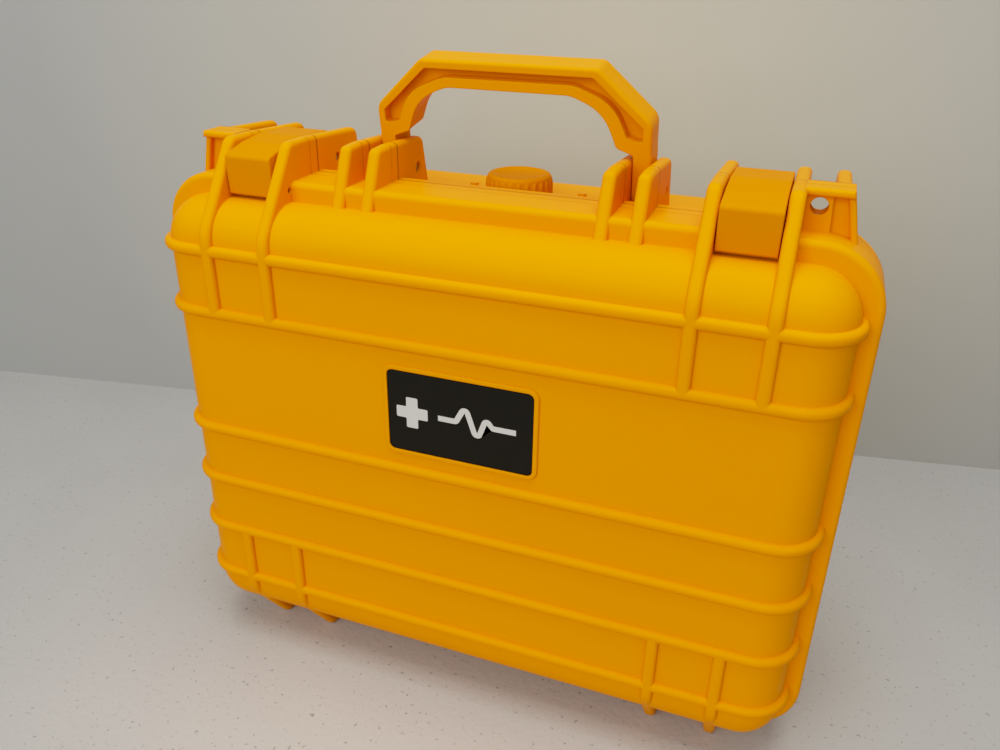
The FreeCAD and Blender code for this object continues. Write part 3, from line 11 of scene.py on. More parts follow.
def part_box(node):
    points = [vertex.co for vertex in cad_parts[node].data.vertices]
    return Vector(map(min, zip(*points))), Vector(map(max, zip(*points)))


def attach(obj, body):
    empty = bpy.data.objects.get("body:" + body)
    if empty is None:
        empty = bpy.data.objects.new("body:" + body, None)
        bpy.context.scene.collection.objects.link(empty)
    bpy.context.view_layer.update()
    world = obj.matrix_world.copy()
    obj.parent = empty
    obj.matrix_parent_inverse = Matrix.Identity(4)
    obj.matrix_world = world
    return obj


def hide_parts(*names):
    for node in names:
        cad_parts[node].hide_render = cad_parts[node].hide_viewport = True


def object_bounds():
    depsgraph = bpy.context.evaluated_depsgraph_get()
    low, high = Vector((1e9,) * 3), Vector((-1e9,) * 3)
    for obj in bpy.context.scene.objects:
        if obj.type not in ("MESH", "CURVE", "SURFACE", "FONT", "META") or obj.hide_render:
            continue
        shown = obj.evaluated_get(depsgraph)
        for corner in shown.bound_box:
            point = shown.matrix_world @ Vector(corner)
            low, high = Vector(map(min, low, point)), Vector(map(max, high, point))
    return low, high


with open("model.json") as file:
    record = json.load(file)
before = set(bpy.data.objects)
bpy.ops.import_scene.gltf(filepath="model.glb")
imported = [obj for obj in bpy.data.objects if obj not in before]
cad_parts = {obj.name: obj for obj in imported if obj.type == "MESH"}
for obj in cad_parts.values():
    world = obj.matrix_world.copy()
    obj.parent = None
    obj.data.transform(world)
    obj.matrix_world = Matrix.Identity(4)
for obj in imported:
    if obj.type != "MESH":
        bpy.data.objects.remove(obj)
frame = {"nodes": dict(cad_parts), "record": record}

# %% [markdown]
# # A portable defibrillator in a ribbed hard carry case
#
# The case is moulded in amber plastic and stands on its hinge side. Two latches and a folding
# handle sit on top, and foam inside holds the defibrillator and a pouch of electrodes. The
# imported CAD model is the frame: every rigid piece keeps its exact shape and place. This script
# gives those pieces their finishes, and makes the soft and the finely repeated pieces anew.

cad_low, cad_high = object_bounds()
nodes = frame["nodes"]
MM = 0.001
print("CAD box, mm:", [round(v / MM, 1) for v in (*cad_low, *cad_high)])

# %% [markdown]
# ## Node trees that read like maths
#
# Blender's materials and its Geometry Nodes are both graphs. Wiring each Math node by hand hides
# the idea, so a small class wraps a socket and overloads the usual operators: `1 - mask * 0.3`
# then adds the Math nodes itself. Every other node comes from one method, which takes its type,
# its settings and the values or links of its inputs.


# %% A socket that knows arithmetic
class Value:
    """Something that varies over a piece, held as a node's output socket."""

    def __init__(self, graph, socket):
        self.graph = graph
        self.socket = socket

    def maths(self, operation, first, second=0.0):
        return self.graph.node("ShaderNodeMath", {"operation": operation}, {0: first, 1: second})

    def __add__(self, other):
        return self.maths("ADD", self, other)

    def __radd__(self, other):
        return self.maths("ADD", other, self)

    def __sub__(self, other):
        return self.maths("SUBTRACT", self, other)

    def __rsub__(self, other):
        return self.maths("SUBTRACT", other, self)

    def __mul__(self, other):
        return self.maths("MULTIPLY", self, other)

    def __rmul__(self, other):
        return self.maths("MULTIPLY", other, self)

    def __truediv__(self, other):
        return self.maths("DIVIDE", self, other)

    def __pow__(self, other):
        return self.maths("POWER", self, other)


class Graph:
    """A node tree, and the one method that adds a node of any type to it."""

    def __init__(self, tree):
        self.tree = tree

    def put(self, node, inputs):
        for key, value in inputs.items():
            socket = node.inputs[key]
            if isinstance(value, Value):
                self.tree.links.new(value.socket, socket)
            elif socket.type == "RGBA" and len(value) == 3:
                socket.default_value = (*value, 1.0)
            else:
                socket.default_value = value

    def node(self, kind, settings=None, inputs=None, output=0):
        made = self.tree.nodes.new(kind)
        for key, value in (settings or {}).items():
            setattr(made, key, value)
        self.put(made, inputs or {})
        return Value(self, made.outputs[output])


# %% A material
class Finish(Graph):
    """A material with a Principled shader."""

    def __init__(self, name, **sockets):
        self.material = bpy.data.materials.new(name)
        self.material.use_nodes = True
        super().__init__(self.material.node_tree)
        self.shader = self.tree.nodes["Principled BSDF"]
        self.set(**sockets)

    def set(self, **sockets):
        self.put(self.shader, {key.replace("_", " "): value for key, value in sockets.items()})
        return self.material

    def place(self):
        """The point on the piece, in metres, in the frame's own axes."""
        return self.node("ShaderNodeTexCoord", output="Object")

    def stretched(self, scale):
        """The same point, squeezed or stretched along each axis."""
        return self.node("ShaderNodeMapping", inputs={"Vector": self.place(), "Scale": scale})

    def noise(self, scale, detail=2.0, rough=0.5, where=None):
        inputs = {"Vector": where or self.place(), "Scale": scale, "Detail": detail,
                  "Roughness": rough}
        return self.node("ShaderNodeTexNoise", inputs=inputs)

    def cells(self, scale, feature="F1"):
        return self.node("ShaderNodeTexVoronoi", {"feature": feature},
                         {"Vector": self.place(), "Scale": scale})

    def blend(self, amount, first, second):
        """A colour between two, by a number on the surface."""
        made = self.tree.nodes.new("ShaderNodeMix")
        made.data_type = "RGBA"
        self.put(made, {0: amount, 6: first, 7: second})
        return Value(self, made.outputs[2])

    def ramp(self, value, low, high, start=0.0, stop=1.0):
        """Maps low..high to start..stop, clamped at both ends."""
        inputs = {0: value, 1: low, 2: high, 3: start, 4: stop}
        return self.node("ShaderNodeMapRange", {"clamp": True}, inputs)

    def bump(self, height, depth, strength=1.0, under=None):
        """A normal from a height; depth is what a height of 1 means, in metres."""
        inputs = {"Height": height, "Distance": depth, "Strength": strength}
        if under:
            inputs["Normal"] = under
        return self.node("ShaderNodeBump", inputs=inputs)


# %% A shape made by Geometry Nodes
class Shape(Graph):
    """A Geometry Nodes tree with named sizes, turned into a plain mesh when it is done."""

    def __init__(self, name, **sizes):
        super().__init__(bpy.data.node_groups.new(name, "GeometryNodeTree"))
        self.sizes = sizes
        self.sockets = {}
        face = self.tree.interface
        face.new_socket("Geometry", in_out="OUTPUT", socket_type="NodeSocketGeometry")
        for key, value in sizes.items():
            kind = "NodeSocketInt" if isinstance(value, int) else "NodeSocketFloat"
            self.sockets[key] = face.new_socket(key, in_out="INPUT", socket_type=kind)
        self.entry = self.tree.nodes.new("NodeGroupInput")

    def size(self, key):
        return Value(self, self.entry.outputs[key])

    def vector(self, x=0.0, y=0.0, z=0.0):
        return self.node("ShaderNodeCombineXYZ", inputs={0: x, 1: y, 2: z})

    def mesh(self, geometry, material):
        placed = self.node("GeometryNodeRealizeInstances", inputs={0: geometry})
        painted = self.node("GeometryNodeSetMaterial",
                            inputs={"Geometry": placed, "Material": material})
        leaving = self.tree.nodes.new("NodeGroupOutput")
        self.tree.links.new(painted.socket, leaving.inputs[0])
        holder = bpy.data.objects.new(self.tree.name, bpy.data.meshes.new(self.tree.name))
        bpy.context.scene.collection.objects.link(holder)
        modifier = holder.modifiers.new("shape", "NODES")
        modifier.node_group = self.tree
        for key, value in self.sizes.items():
            modifier[self.sockets[key].identifier] = value
        ready = holder.evaluated_get(bpy.context.evaluated_depsgraph_get())
        made = bpy.data.meshes.new_from_object(ready)
        bpy.data.objects.remove(holder)
        return made


print("helpers ready")

# %% [markdown]
# ## Camera and tone
#
# The view is that of someone who stands a little to the right of the case and looks down on it.
# A camera's matrix takes three unit columns: its right, its up, and the reverse of its gaze.
# Writing them down keeps the small roll that a hand-held view has.
#
# A camera's film or sensor gives way gently in the highlights, so a lit amber turns yellower
# instead of clipping. The view's curve does the same: it takes light up to twice the display's
# white, stays straight in the darks, and bends over towards the top.

# %% The camera
EYE = Vector((0.1423, -0.4002, 0.3883))
GAZE = Vector((-0.3085, 0.8422, -0.4422)).normalized()
RIGHT = Vector((0.9367, 0.3500, 0.0131))
RIGHT = (RIGHT - RIGHT.dot(GAZE) * GAZE).normalized()
UP = RIGHT.cross(GAZE)

lens = bpy.data.cameras.new("view_lens")
SENSOR_MM, FOCAL_MM = 36.0, 30.84
lens.sensor_width = SENSOR_MM
lens.lens = FOCAL_MM
lens.clip_start = 0.01
camera = bpy.data.objects.new("view_camera", lens)
camera.matrix_world = Matrix.Translation(EYE) @ Matrix((RIGHT, UP, -GAZE)).transposed().to_4x4()
bpy.context.scene.collection.objects.link(camera)
bpy.context.scene.camera = camera
print("camera at", [round(c, 3) for c in EYE])

# %% The tone curve
tone = bpy.context.scene.view_settings
tone.view_transform = "Standard"
tone.use_curve_mapping = True
WHITEST = 2.0
SHOULDER = ((0.05, 0.10), (0.135, 0.262), (0.23, 0.425), (0.425, 0.665), (0.725, 0.845))
BRIGHTEST_SHOWN = 0.94
tone.curve_mapping.black_level = (0.010, 0.010, 0.012)
tone.curve_mapping.white_level = (WHITEST, WHITEST, WHITEST)
combined = tone.curve_mapping.curves[3]
for light, shown in SHOULDER:
    combined.points.new(light, shown)
combined.points[-1].location = (1.0, BRIGHTEST_SHOWN)
tone.curve_mapping.update()
print("tone curve has", len(combined.points), "points")

# %% [markdown]
# ## The studio
#
# A pale floor, and a pale wall two hands behind the case. The wall is one-sided, so that it never
# hides the case from a view behind it. Both are painted paler and warmer close to the case, where
# light that bounces off the amber shells would fall. Three soft lamps do the work: a wide one
# above, a fill beside the camera, and a weak one behind. The sky adds an even level.


# %% Floor and wall
def flat_sheet(name, corners, material):
    mesh = bpy.data.meshes.new(name)
    mesh.from_pydata(corners, [], [list(range(len(corners)))])
    mesh.materials.append(material)
    sheet = bpy.data.objects.new(name, mesh)
    bpy.context.scene.collection.objects.link(sheet)
    return sheet


def glow_round(f, middle, near, far):
    """1 close to a point and 0 away from it."""
    away = f.node("ShaderNodeVectorMath", {"operation": "DISTANCE"}, {0: f.place(), 1: middle},
                  output="Value")
    return f.ramp(away, near, far, 1.0, 0.0)


def floor_finish():
    f = Finish("studio_floor", Roughness=0.8, Specular_IOR_Level=0.2)
    blotches = f.noise(9.0, 4.0, 0.6)
    specks = f.ramp(f.noise(300.0, 2.0, 0.6), 0.29, 0.36)
    even = f.blend(blotches, (0.36, 0.355, 0.345), (0.415, 0.41, 0.40))
    near = f.blend(glow_round(f, (0.0, -0.03, 0.0), 0.10, 0.34), even, (0.51, 0.49, 0.455))
    colour = f.blend(specks, (0.29, 0.28, 0.26), near)
    return f.set(Base_Color=colour, Normal=f.bump(f.noise(260.0), 0.0003))


def wall_finish():
    f = Finish("studio_wall", Roughness=0.9, Specular_IOR_Level=0.1)
    near = glow_round(f, (0.0, 0.27, 0.28), 0.05, 0.50)
    f.set(Base_Color=f.blend(near, (0.375, 0.38, 0.37), (0.56, 0.54, 0.44)))
    behind = f.node("ShaderNodeNewGeometry", output="Backfacing")
    clear = f.node("ShaderNodeBsdfTransparent")
    seen = f.node("ShaderNodeMixShader", inputs={0: behind, 1: Value(f, f.shader.outputs[0]),
                                                 2: clear})
    f.tree.links.new(seen.socket, f.tree.nodes["Material Output"].inputs["Surface"])
    return f.material


FAR = 3.0
flat_sheet("floor", [(-FAR, -FAR, 0), (FAR, -FAR, 0), (FAR, FAR, 0), (-FAR, FAR, 0)],
           floor_finish())
WALL_MIDDLE = Vector((0.0, 0.268, 0.0))
WALL_RUN = Vector((0.9839, 0.1790, 0.0))
left, right = WALL_MIDDLE - WALL_RUN * FAR, WALL_MIDDLE + WALL_RUN * FAR
flat_sheet("wall", [left, right, right + Vector((0, 0, FAR)), left + Vector((0, 0, FAR))],
           wall_finish())


# %% Lamps and sky
def soft_lamp(name, place, aim, size, power, colour=(1.0, 1.0, 1.0)):
    lamp = bpy.data.lights.new(name, "AREA")
    lamp.shape = "RECTANGLE"
    lamp.size, lamp.size_y = size
    lamp.energy = power
    lamp.color = colour
    made = bpy.data.objects.new(name, lamp)
    turn = (Vector(place) - Vector(aim)).to_track_quat("Z", "Y").to_matrix().to_4x4()
    made.matrix_world = Matrix.Translation(place) @ turn
    bpy.context.scene.collection.objects.link(made)
    return made


CASE_MIDDLE = (cad_low + cad_high) / 2
soft_lamp("lamp_above", (0.05, 0.0, 1.45), CASE_MIDDLE, (1.3, 0.9), 20.0, (1.0, 0.985, 0.95))
soft_lamp("lamp_fill", (-0.15, -1.25, 0.80), CASE_MIDDLE, (1.1, 0.8), 11.0, (1.0, 0.985, 0.96))
soft_lamp("lamp_behind", (0.9, 1.3, 1.1), CASE_MIDDLE, (1.0, 0.8), 3.0, (0.97, 0.98, 1.0))

sky = bpy.data.worlds.new("studio_sky")
sky.use_nodes = True
sky.node_tree.nodes["Background"].inputs["Color"].default_value = (0.95, 0.95, 0.95, 1.0)
sky.node_tree.nodes["Background"].inputs["Strength"].default_value = 0.50
bpy.context.scene.world = sky
print("studio: floor, wall, 3 lamps and a sky")

# %% [markdown]
# ## Moulded plastic
#
# Injection-moulded polypropylene has a fine spark-eroded texture that scatters its highlights. The
# real edges are never knife sharp, so a Bevel node rounds the light on them without touching the
# mesh, and a Bump node lays the texture on top. Where that rounded normal leaves the true one,
# there is an edge, and its colour is painted a shade paler: partly a painted highlight where edges
# catch the light, partly the burnish of handling. A slow noise drifts the colour by a few percent,
# and a long thin one draws the faint scuffs that a case gets in its locker. In the plane where the
# two shells meet, the case gets a thin dark line: painted shade for the narrow gap between them.


# %% The plastic
def moulded_plastic(name, colour, roughness, grain=0.000022, scale=1500.0, drift=0.05,
                    soft_edge=0.0009, paler=0.16, gloss=0.08, seam=None):
    f = Finish(name, Roughness=roughness, IOR=1.49, Specular_IOR_Level=gloss,
               Specular_Tint=(1.0, 0.82, 0.30))
    rounded = f.node("ShaderNodeBevel", {"samples": 4}, {"Radius": soft_edge})
    true = f.node("ShaderNodeNewGeometry", output="Normal")
    alike = f.node("ShaderNodeVectorMath", {"operation": "DOT_PRODUCT"}, {0: rounded, 1: true},
                   output="Value")
    # Edge mask: edges are painted paler, a painted highlight where they catch the light plus
    # handling wear.
    edge_sheen_and_wear = f.ramp(alike, 0.80, 0.99, 1.0, 0.0)
    fine = f.noise(scale, 2.0, 0.6)
    broad = f.noise(14.0, 3.0, 0.5)
    scuffs = f.ramp(f.noise(60.0, 3.0, 0.65, f.stretched((1.0, 1.0, 7.0))), 0.66, 0.74)
    darker = tuple(c * (1 - drift) for c in colour)
    light = tuple(c + (1 - c) * paler * 0.35 for c in colour)
    even = f.blend(broad, darker, colour)
    # Painted highlight and handling wear on the edges, with real scuffs on top.
    worn = f.blend(edge_sheen_and_wear * paler * 2.2 + scuffs * 0.05, even, light)
    # Painted shade: a thin dark line in the plane where the two shells meet, for the narrow gap
    # there.
    if seam is not None:
        offset = f.node("ShaderNodeSeparateXYZ", inputs={0: f.place()}, output=1) - seam
        apart = offset.maths("ABSOLUTE", offset)
        line = f.ramp(apart, 0.35 * MM, 0.9 * MM, 0.75, 0.0)
        worn = f.blend(line, worn, tuple(c * 0.3 for c in colour))
    rough = f.ramp(fine, 0.3, 0.7, roughness - 0.05, roughness + 0.06)
    return f.set(Base_Color=worn, Roughness=rough - edge_sheen_and_wear * 0.06 + scuffs * 0.05,
                 Normal=f.bump(fine, grain, under=rounded))


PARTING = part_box("lid_shell")[1].y + 0.2 * MM
AMBER = (0.87, 0.292, 0.0004)
AMBER_TRIM = (0.84, 0.288, 0.0004)
# A darker copy of the trim amber for the latches and knob: painted shade. Its higher roughness is
# real.
AMBER_SHADED = (0.70, 0.222, 0.0004)
shaded_trim = moulded_plastic("worn_trim_amber", AMBER_SHADED, 0.5, scale=1900.0, gloss=0.04)
finishes = {
    "case_plastic": moulded_plastic("case_amber", AMBER, 0.46, seam=PARTING),
    "case_trim": moulded_plastic("trim_amber", AMBER_TRIM, 0.42, scale=1900.0),
    "unit_grey": moulded_plastic("housing_light_grey", (0.56, 0.57, 0.56), 0.45),
    "unit_dark": moulded_plastic("housing_charcoal", (0.035, 0.038, 0.042), 0.42, paler=0.08),
    "battery": moulded_plastic("battery_charcoal", (0.02, 0.022, 0.025), 0.5, paler=0.08),
    "socket_yellow": moulded_plastic("socket_yellow", (0.80, 0.40, 0.01), 0.3, gloss=0.4),
    "magnet": moulded_plastic("magnet_dark", (0.05, 0.05, 0.055), 0.35, gloss=0.5, paler=0.08),
}
print("moulded finishes:", len(finishes))

# %% [markdown]
# ## Rubber, foam, foil and steel
#
# Silicone rubber is matt and shows a dusty bloom. Charcoal foam is a field of open cells: a cell
# pattern makes both its pits and its salt-and-pepper colour. The electrode pouch is a laminate
# with an aluminium layer, so it is half metal, half paper, and creased all over. Turned pins
# carry fine rings, drawn by a noise that is squeezed along one axis.


# %% Soft and metal finishes
def rubber(name, colour):
    f = Finish(name, Roughness=0.6, Specular_IOR_Level=0.3)
    bloom = f.ramp(f.noise(45.0, 4.0, 0.6), 0.45, 0.75)
    dusty = tuple(c * 2.2 + 0.006 for c in colour)
    return f.set(Base_Color=f.blend(bloom, colour, dusty), Roughness=0.55 + bloom * 0.15,
                 Normal=f.bump(f.noise(900.0), 0.00003))


def open_foam(name, colour):
    f = Finish(name, Roughness=0.95, Specular_IOR_Level=0.08)
    pits = f.cells(900.0)
    pepper = f.ramp(f.noise(1100.0, 2.0, 0.7), 0.35, 0.65)
    lighter = tuple(c * 2.3 for c in colour)
    return f.set(Base_Color=f.blend(pepper, colour, lighter),
                 Normal=f.bump(pits + f.noise(240.0) * 1.5, 0.0006))


def laminate(name, colour):
    f = Finish(name, Metallic=0.55, Roughness=0.38)
    creases = f.cells(55.0, "DISTANCE_TO_EDGE") ** 0.5
    small = f.noise(190.0, 3.0, 0.6)
    worn = f.ramp(creases, 0.05, 0.35, 1.0, 0.0)
    pale = tuple(min(1.0, c * 1.25) for c in colour)
    return f.set(Base_Color=f.blend(worn * 0.6, colour, pale), Roughness=0.34 + small * 0.14,
                 Normal=f.bump(creases + small * 0.5, 0.0007, 0.7))


def turned_steel(name):
    f = Finish(name, Metallic=1.0, Roughness=0.28)
    rings = f.noise(90.0, 2.0, 0.5, f.stretched((40.0, 1.0, 1.0)))
    stains = f.ramp(f.noise(320.0, 3.0, 0.6), 0.5, 0.8)
    return f.set(Base_Color=f.blend(stains, (0.56, 0.55, 0.53), (0.40, 0.38, 0.35)),
                 Roughness=f.ramp(rings, 0.3, 0.7, 0.22, 0.38),
                 Normal=f.bump(rings, 0.00002))


finishes["seal_rubber"] = rubber("seal_rubber", (0.014, 0.014, 0.015))
finishes["foam_grey"] = open_foam("foam_charcoal", (0.022, 0.022, 0.024))
finishes["pouch_foil"] = laminate("pouch_foil", (0.50, 0.51, 0.53))
finishes["steel"] = turned_steel("pin_steel")
print("finishes so far:", len(finishes))

# %% [markdown]
# ## Gloss, print and glass
#
# Buttons and sleeves are smoother than the housings and get a thin clear coat. Screen print is a
# thin film whose ink is slightly uneven. The status lens and the screen's window let light
# through, so their alpha is below one.


# %% Glossy, printed and clear finishes
def glossy_plastic(name, colour, roughness=0.25, coat=0.3):
    f = Finish(name, Roughness=roughness, IOR=1.49, Coat_Roughness=0.12)
    rounded = f.node("ShaderNodeBevel", {"samples": 4}, {"Radius": 0.0006})
    cloudy = f.noise(35.0, 3.0, 0.5)
    darker = tuple(c * 0.9 for c in colour)
    return f.set(Base_Color=f.blend(cloudy, darker, colour), Coat_Weight=coat - cloudy * 0.1,
                 Roughness=roughness - 0.03 + cloudy * 0.08,
                 Normal=f.bump(f.noise(700.0), 0.000008, under=rounded))


def printed_film(name, colour, roughness, specks=0.05):
    f = Finish(name, Roughness=roughness, Specular_IOR_Level=0.25)
    ink = f.noise(1300.0, 2.0, 0.6)
    peel = f.noise(120.0, 3.0, 0.5)
    thinner = tuple(c * (1 - specks) for c in colour)
    return f.set(Base_Color=f.blend(ink, thinner, colour), Roughness=roughness + peel * 0.08,
                 Normal=f.bump(peel, 0.00004))


def circuit_laminate(name):
    f = Finish(name, Roughness=0.3)
    tracks = f.ramp(f.cells(160.0, "DISTANCE_TO_EDGE"), 0.05, 0.08, 1.0, 0.0)
    colour = f.blend(tracks, (0.008, 0.085, 0.025), (0.02, 0.17, 0.05))
    return f.set(Base_Color=colour, Roughness=0.35 - tracks * 0.1,
                 Normal=f.bump(tracks, 0.00004))


def clear_plastic(name, colour, alpha):
    f = Finish(name, Roughness=0.08, IOR=1.5, Alpha=alpha)
    haze = f.noise(60.0, 3.0, 0.6)
    return f.set(Base_Color=f.blend(haze, tuple(c * 0.85 for c in colour), colour),
                 Roughness=0.05 + haze * 0.06)


finishes["button_orange"] = glossy_plastic("button_orange", (0.75, 0.085, 0.004))
finishes["button_green"] = glossy_plastic("button_green", (0.008, 0.24, 0.05))
finishes["can_black"] = glossy_plastic("capacitor_sleeve", (0.012, 0.012, 0.015))
finishes["display"] = glossy_plastic("display_black", (0.006, 0.007, 0.009), 0.12, 0.4)
finishes["board_green"] = circuit_laminate("board_green")
finishes["label_white"] = printed_film("print_white", (0.60, 0.585, 0.55), 0.5)
finishes["label_black"] = printed_film("label_black", (0.010, 0.009, 0.009), 0.42, 0.3)
finishes["lamp_green"] = clear_plastic("lens_green", (0.02, 0.55, 0.10), 0.7)
finishes["window"] = clear_plastic("window_clear", (0.03, 0.035, 0.04), 0.35)

# Latches take the darker copy of the trim amber: painted shade.
SHADED_TRIM_PARTS = {"latch_left": shaded_trim, "latch_right": shaded_trim}
for part in frame["record"]["subparts"]:
    mesh = nodes[part["node"]].data
    mesh.materials.clear()
    mesh.materials.append(SHADED_TRIM_PARTS.get(part["node"], finishes[part["material_slot"]]))
print(len(finishes), "finishes on", len(nodes), "nodes")

# %% [markdown]
# ## Pieces made here
#
# A new piece sits at the origin with its place in its mesh, rides on one of the frame's bodies,
# and hides the CAD solids it stands for. Two mesh helpers serve most of them: one turns a closed
# outline into a thin plate, the other turns a profile round an upright axis.


# %% Helpers for new pieces
def piece(name, mesh, body, slot, stands_for=(), smooth_under=40):
    mesh.shade_smooth()
    mesh.set_sharp_from_angle(angle=math.radians(smooth_under))
    if not mesh.materials:
        mesh.materials.append(finishes[slot])
    made = bpy.data.objects.new(name, mesh)
    bpy.context.scene.collection.objects.link(made)
    if stands_for:
        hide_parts(*stands_for)
    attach(made, body)
    print(name, "has", len(mesh.polygons), "faces")
    return made


def from_bmesh(name, shape):
    """A mesh with its doubles merged and its faces turned outwards."""
    bmesh.ops.remove_doubles(shape, verts=shape.verts, dist=1e-6)
    bmesh.ops.recalc_face_normals(shape, faces=shape.faces)
    mesh = bpy.data.meshes.new(name)
    shape.to_mesh(mesh)
    shape.free()
    return mesh


def rounded_path(points, radius, closed=True, steps=6):
    """The outline through points, each corner replaced by an arc that touches both its sides."""
    path = []
    count = len(points)
    for i, corner in enumerate(points):
        if not closed and i in (0, count - 1):
            path.append(Vector(corner))
            continue
        here = Vector(corner)
        before = (Vector(points[i - 1]) - here)
        after = (Vector(points[(i + 1) % count]) - here)
        half = before.angle(after) / 2
        reach = min(radius / math.tan(half), before.length * 0.48, after.length * 0.48)
        r = reach * math.tan(half)
        start, stop = before.normalized() * reach, after.normalized() * reach
        middle = (start + stop).normalized() * (r / math.sin(half))
        a, b = start - middle, stop - middle
        turn = a.angle_signed(b)
        for k in range(steps + 1):
            spin = Matrix.Rotation(-turn * k / steps, 2)
            path.append(here + middle + spin @ a)
    return path


def stroke(points, width):
    """The outline of a line of even width along an open path."""
    sides = ([], [])
    for i, here in enumerate(points):
        run = points[min(i + 1, len(points) - 1)] - points[max(i - 1, 0)]
        across = Vector((-run.y, run.x)).normalized() * width / 2
        sides[0].append(here + across)
        sides[1].append(here - across)
    return sides[0] + sides[1][::-1]


def plates(name, outlines, front, thick):
    """Thin plates in the X-Z plane, from closed outlines in metres."""
    shape = bmesh.new()
    for outline in outlines:
        face = shape.faces.new([shape.verts.new((x, front, z)) for x, z in outline])
        rear = bmesh.ops.extrude_face_region(shape, geom=[face])["geom"]
        moved = [v for v in rear if isinstance(v, bmesh.types.BMVert)]
        bmesh.ops.translate(shape, verts=moved, vec=(0, thick, 0))
    return from_bmesh(name, shape)


def lathe(name, profile, middle, steps=96):
    """A closed solid of revolution about Z: profile pairs a radius with a height."""
    shape = bmesh.new()
    rings = []
    for radius, height in profile:
        if radius < 1e-6:
            rings.append([shape.verts.new((middle.x, middle.y, height))])
            continue
        turns = [2 * math.pi * k / steps for k in range(steps)]
        rings.append([shape.verts.new((middle.x + radius * math.cos(t),
                                       middle.y + radius * math.sin(t), height))
                      for t in turns])
    for low, high in zip(rings, rings[1:]):
        for k in range(steps):
            around = [low[k % len(low)], low[(k + 1) % len(low)],
                      high[(k + 1) % len(high)], high[k % len(high)]]
            corners = list(dict.fromkeys(around))
            if len(corners) > 2:
                shape.faces.new(corners)
    return from_bmesh(name, shape)


print("mesh helpers ready")

# %% [markdown]
# ## The pressure valve's knob
#
# The knob is a low disc with an eased edge, a faintly dished top and a ring of rounded ribs for
# the fingers. The disc is turned on a lathe. The ribs repeat, so Geometry Nodes make them: one
# upright curve gets a round profile whose radius fades near its top, and a mesh circle gives the
# places of its copies. Latches and knob get a rougher, darker copy of the trim amber; its darker
# colour is painted shade.

# %% The knob
knob_low, knob_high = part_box("valve_knob")
knob_middle = (knob_low + knob_high) / 2
knob_radius = (knob_high.x - knob_low.x) / 2
RIBS = 25
RIB_R = 1.6 * MM
disc_radius = knob_radius - 0.8 * MM
top = knob_high.z
profile = [(0, knob_low.z), (disc_radius - 0.5 * MM, knob_low.z),
           (disc_radius, knob_low.z + 0.5 * MM)]
for degrees in range(0, 91, 10):
    t = math.radians(degrees)
    profile.append((disc_radius - 2.0 * MM * (1 - math.cos(t)), top - 2.0 * MM * (1 - math.sin(t))))
profile += [(disc_radius - 3.2 * MM, top), (disc_radius - 3.9 * MM, top - 0.35 * MM),
            (disc_radius * 0.55, top - 0.7 * MM), (0, top - 0.9 * MM)]
disc = lathe("knob_disc", profile, knob_middle)
disc.materials.append(shaded_trim)
piece("knob_disc", disc, "valve_knob", "case_trim", stands_for=("valve_knob",))

g = Shape("knob_ribs", Count=RIBS, Ring=knob_radius - RIB_R, Radius=RIB_R,
          Low=knob_low.z + 0.3 * MM, High=top - 1.2 * MM)
ring = g.node("GeometryNodeMeshCircle", {"fill_type": "NONE"},
              {"Vertices": g.size("Count"), "Radius": g.size("Ring")})
upright = g.node("GeometryNodeCurvePrimitiveLine",
                 inputs={"Start": g.vector(z=g.size("Low")), "End": g.vector(z=g.size("High"))})
upright = g.node("GeometryNodeResampleCurve", inputs={"Curve": upright, "Count": 9})
along = g.node("GeometryNodeSplineParameter", output="Factor")
round_end = (1.0 - along ** 7.0) ** 0.5
upright = g.node("GeometryNodeSetCurveRadius", inputs={"Curve": upright, "Radius": round_end})
section = g.node("GeometryNodeCurvePrimitiveCircle",
                 inputs={"Resolution": 10, "Radius": g.size("Radius")})
rib = g.node("GeometryNodeCurveToMesh", inputs={"Curve": upright, "Profile Curve": section,
                                                "Scale": round_end, "Fill Caps": True})
copies = g.node("GeometryNodeInstanceOnPoints", inputs={"Points": ring, "Instance": rib})
moved = g.node("GeometryNodeTransform", inputs={
    "Geometry": copies, "Translation": (knob_middle.x, knob_middle.y, 0.0)})
piece("knob_ribs", g.mesh(moved, shaded_trim), "valve_knob", "case_trim")

# %% [markdown]
# ## The label's print
#
# The black plate on the lid carries a pale screen print. It shows a rounded cross and a pulse
# trace, the general signs for first aid and a heartbeat. Both are thin films: an outline with
# rounded corners, and a line of even width along a path whose bends are eased first.

# %% The print
label_low, label_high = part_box("label_plate")
label = (label_low + label_high) / 2
print_low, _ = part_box("label_print")
ARM, REACH, CROSS_X = 3.1, 8.4, -25.0
cross = [(-ARM, REACH), (ARM, REACH), (ARM, ARM), (REACH, ARM), (REACH, -ARM), (ARM, -ARM),
         (ARM, -REACH), (-ARM, -REACH), (-ARM, -ARM), (-REACH, -ARM), (-REACH, ARM), (-ARM, ARM)]
cross = rounded_path([(CROSS_X + x, z) for x, z in cross], 0.7)
trace = rounded_path([(-11.0, 0), (-1.5, 0), (3.4, 9.2), (9.6, -8.8), (14.2, 4.4), (17.4, 0),
                      (29.5, 0)], 1.6, closed=False)
outlines = [[(label.x + x * MM, label.z + z * MM) for x, z in outline]
            for outline in (cross, stroke(trace, 2.9))]
piece("label_symbols", plates("label_symbols", outlines, print_low.y, label_low.y - print_low.y),
      "lid", "label_white", stands_for=("label_print",))

# %% [markdown]
# ## Foam
#
# The base holds one thick block with pockets cut for the defibrillator and the electrode pouch.
# Cut foam has soft, slightly swollen edges, so the block is a copy of its CAD solid, remeshed to
# small even faces and smoothed. The lid's liner is convoluted foam, whose bumps repeat on a square
# grid: Geometry Nodes take a flat slab with many points on one face and sink them by a product of
# two sine waves. The bumps fade out near the slab's border, where the sheet was cut. The slab's
# points are then moved in Python, to give it round corners and sides that lean in at the front.

# %% The block in the base
VOXEL = 2.5 * MM


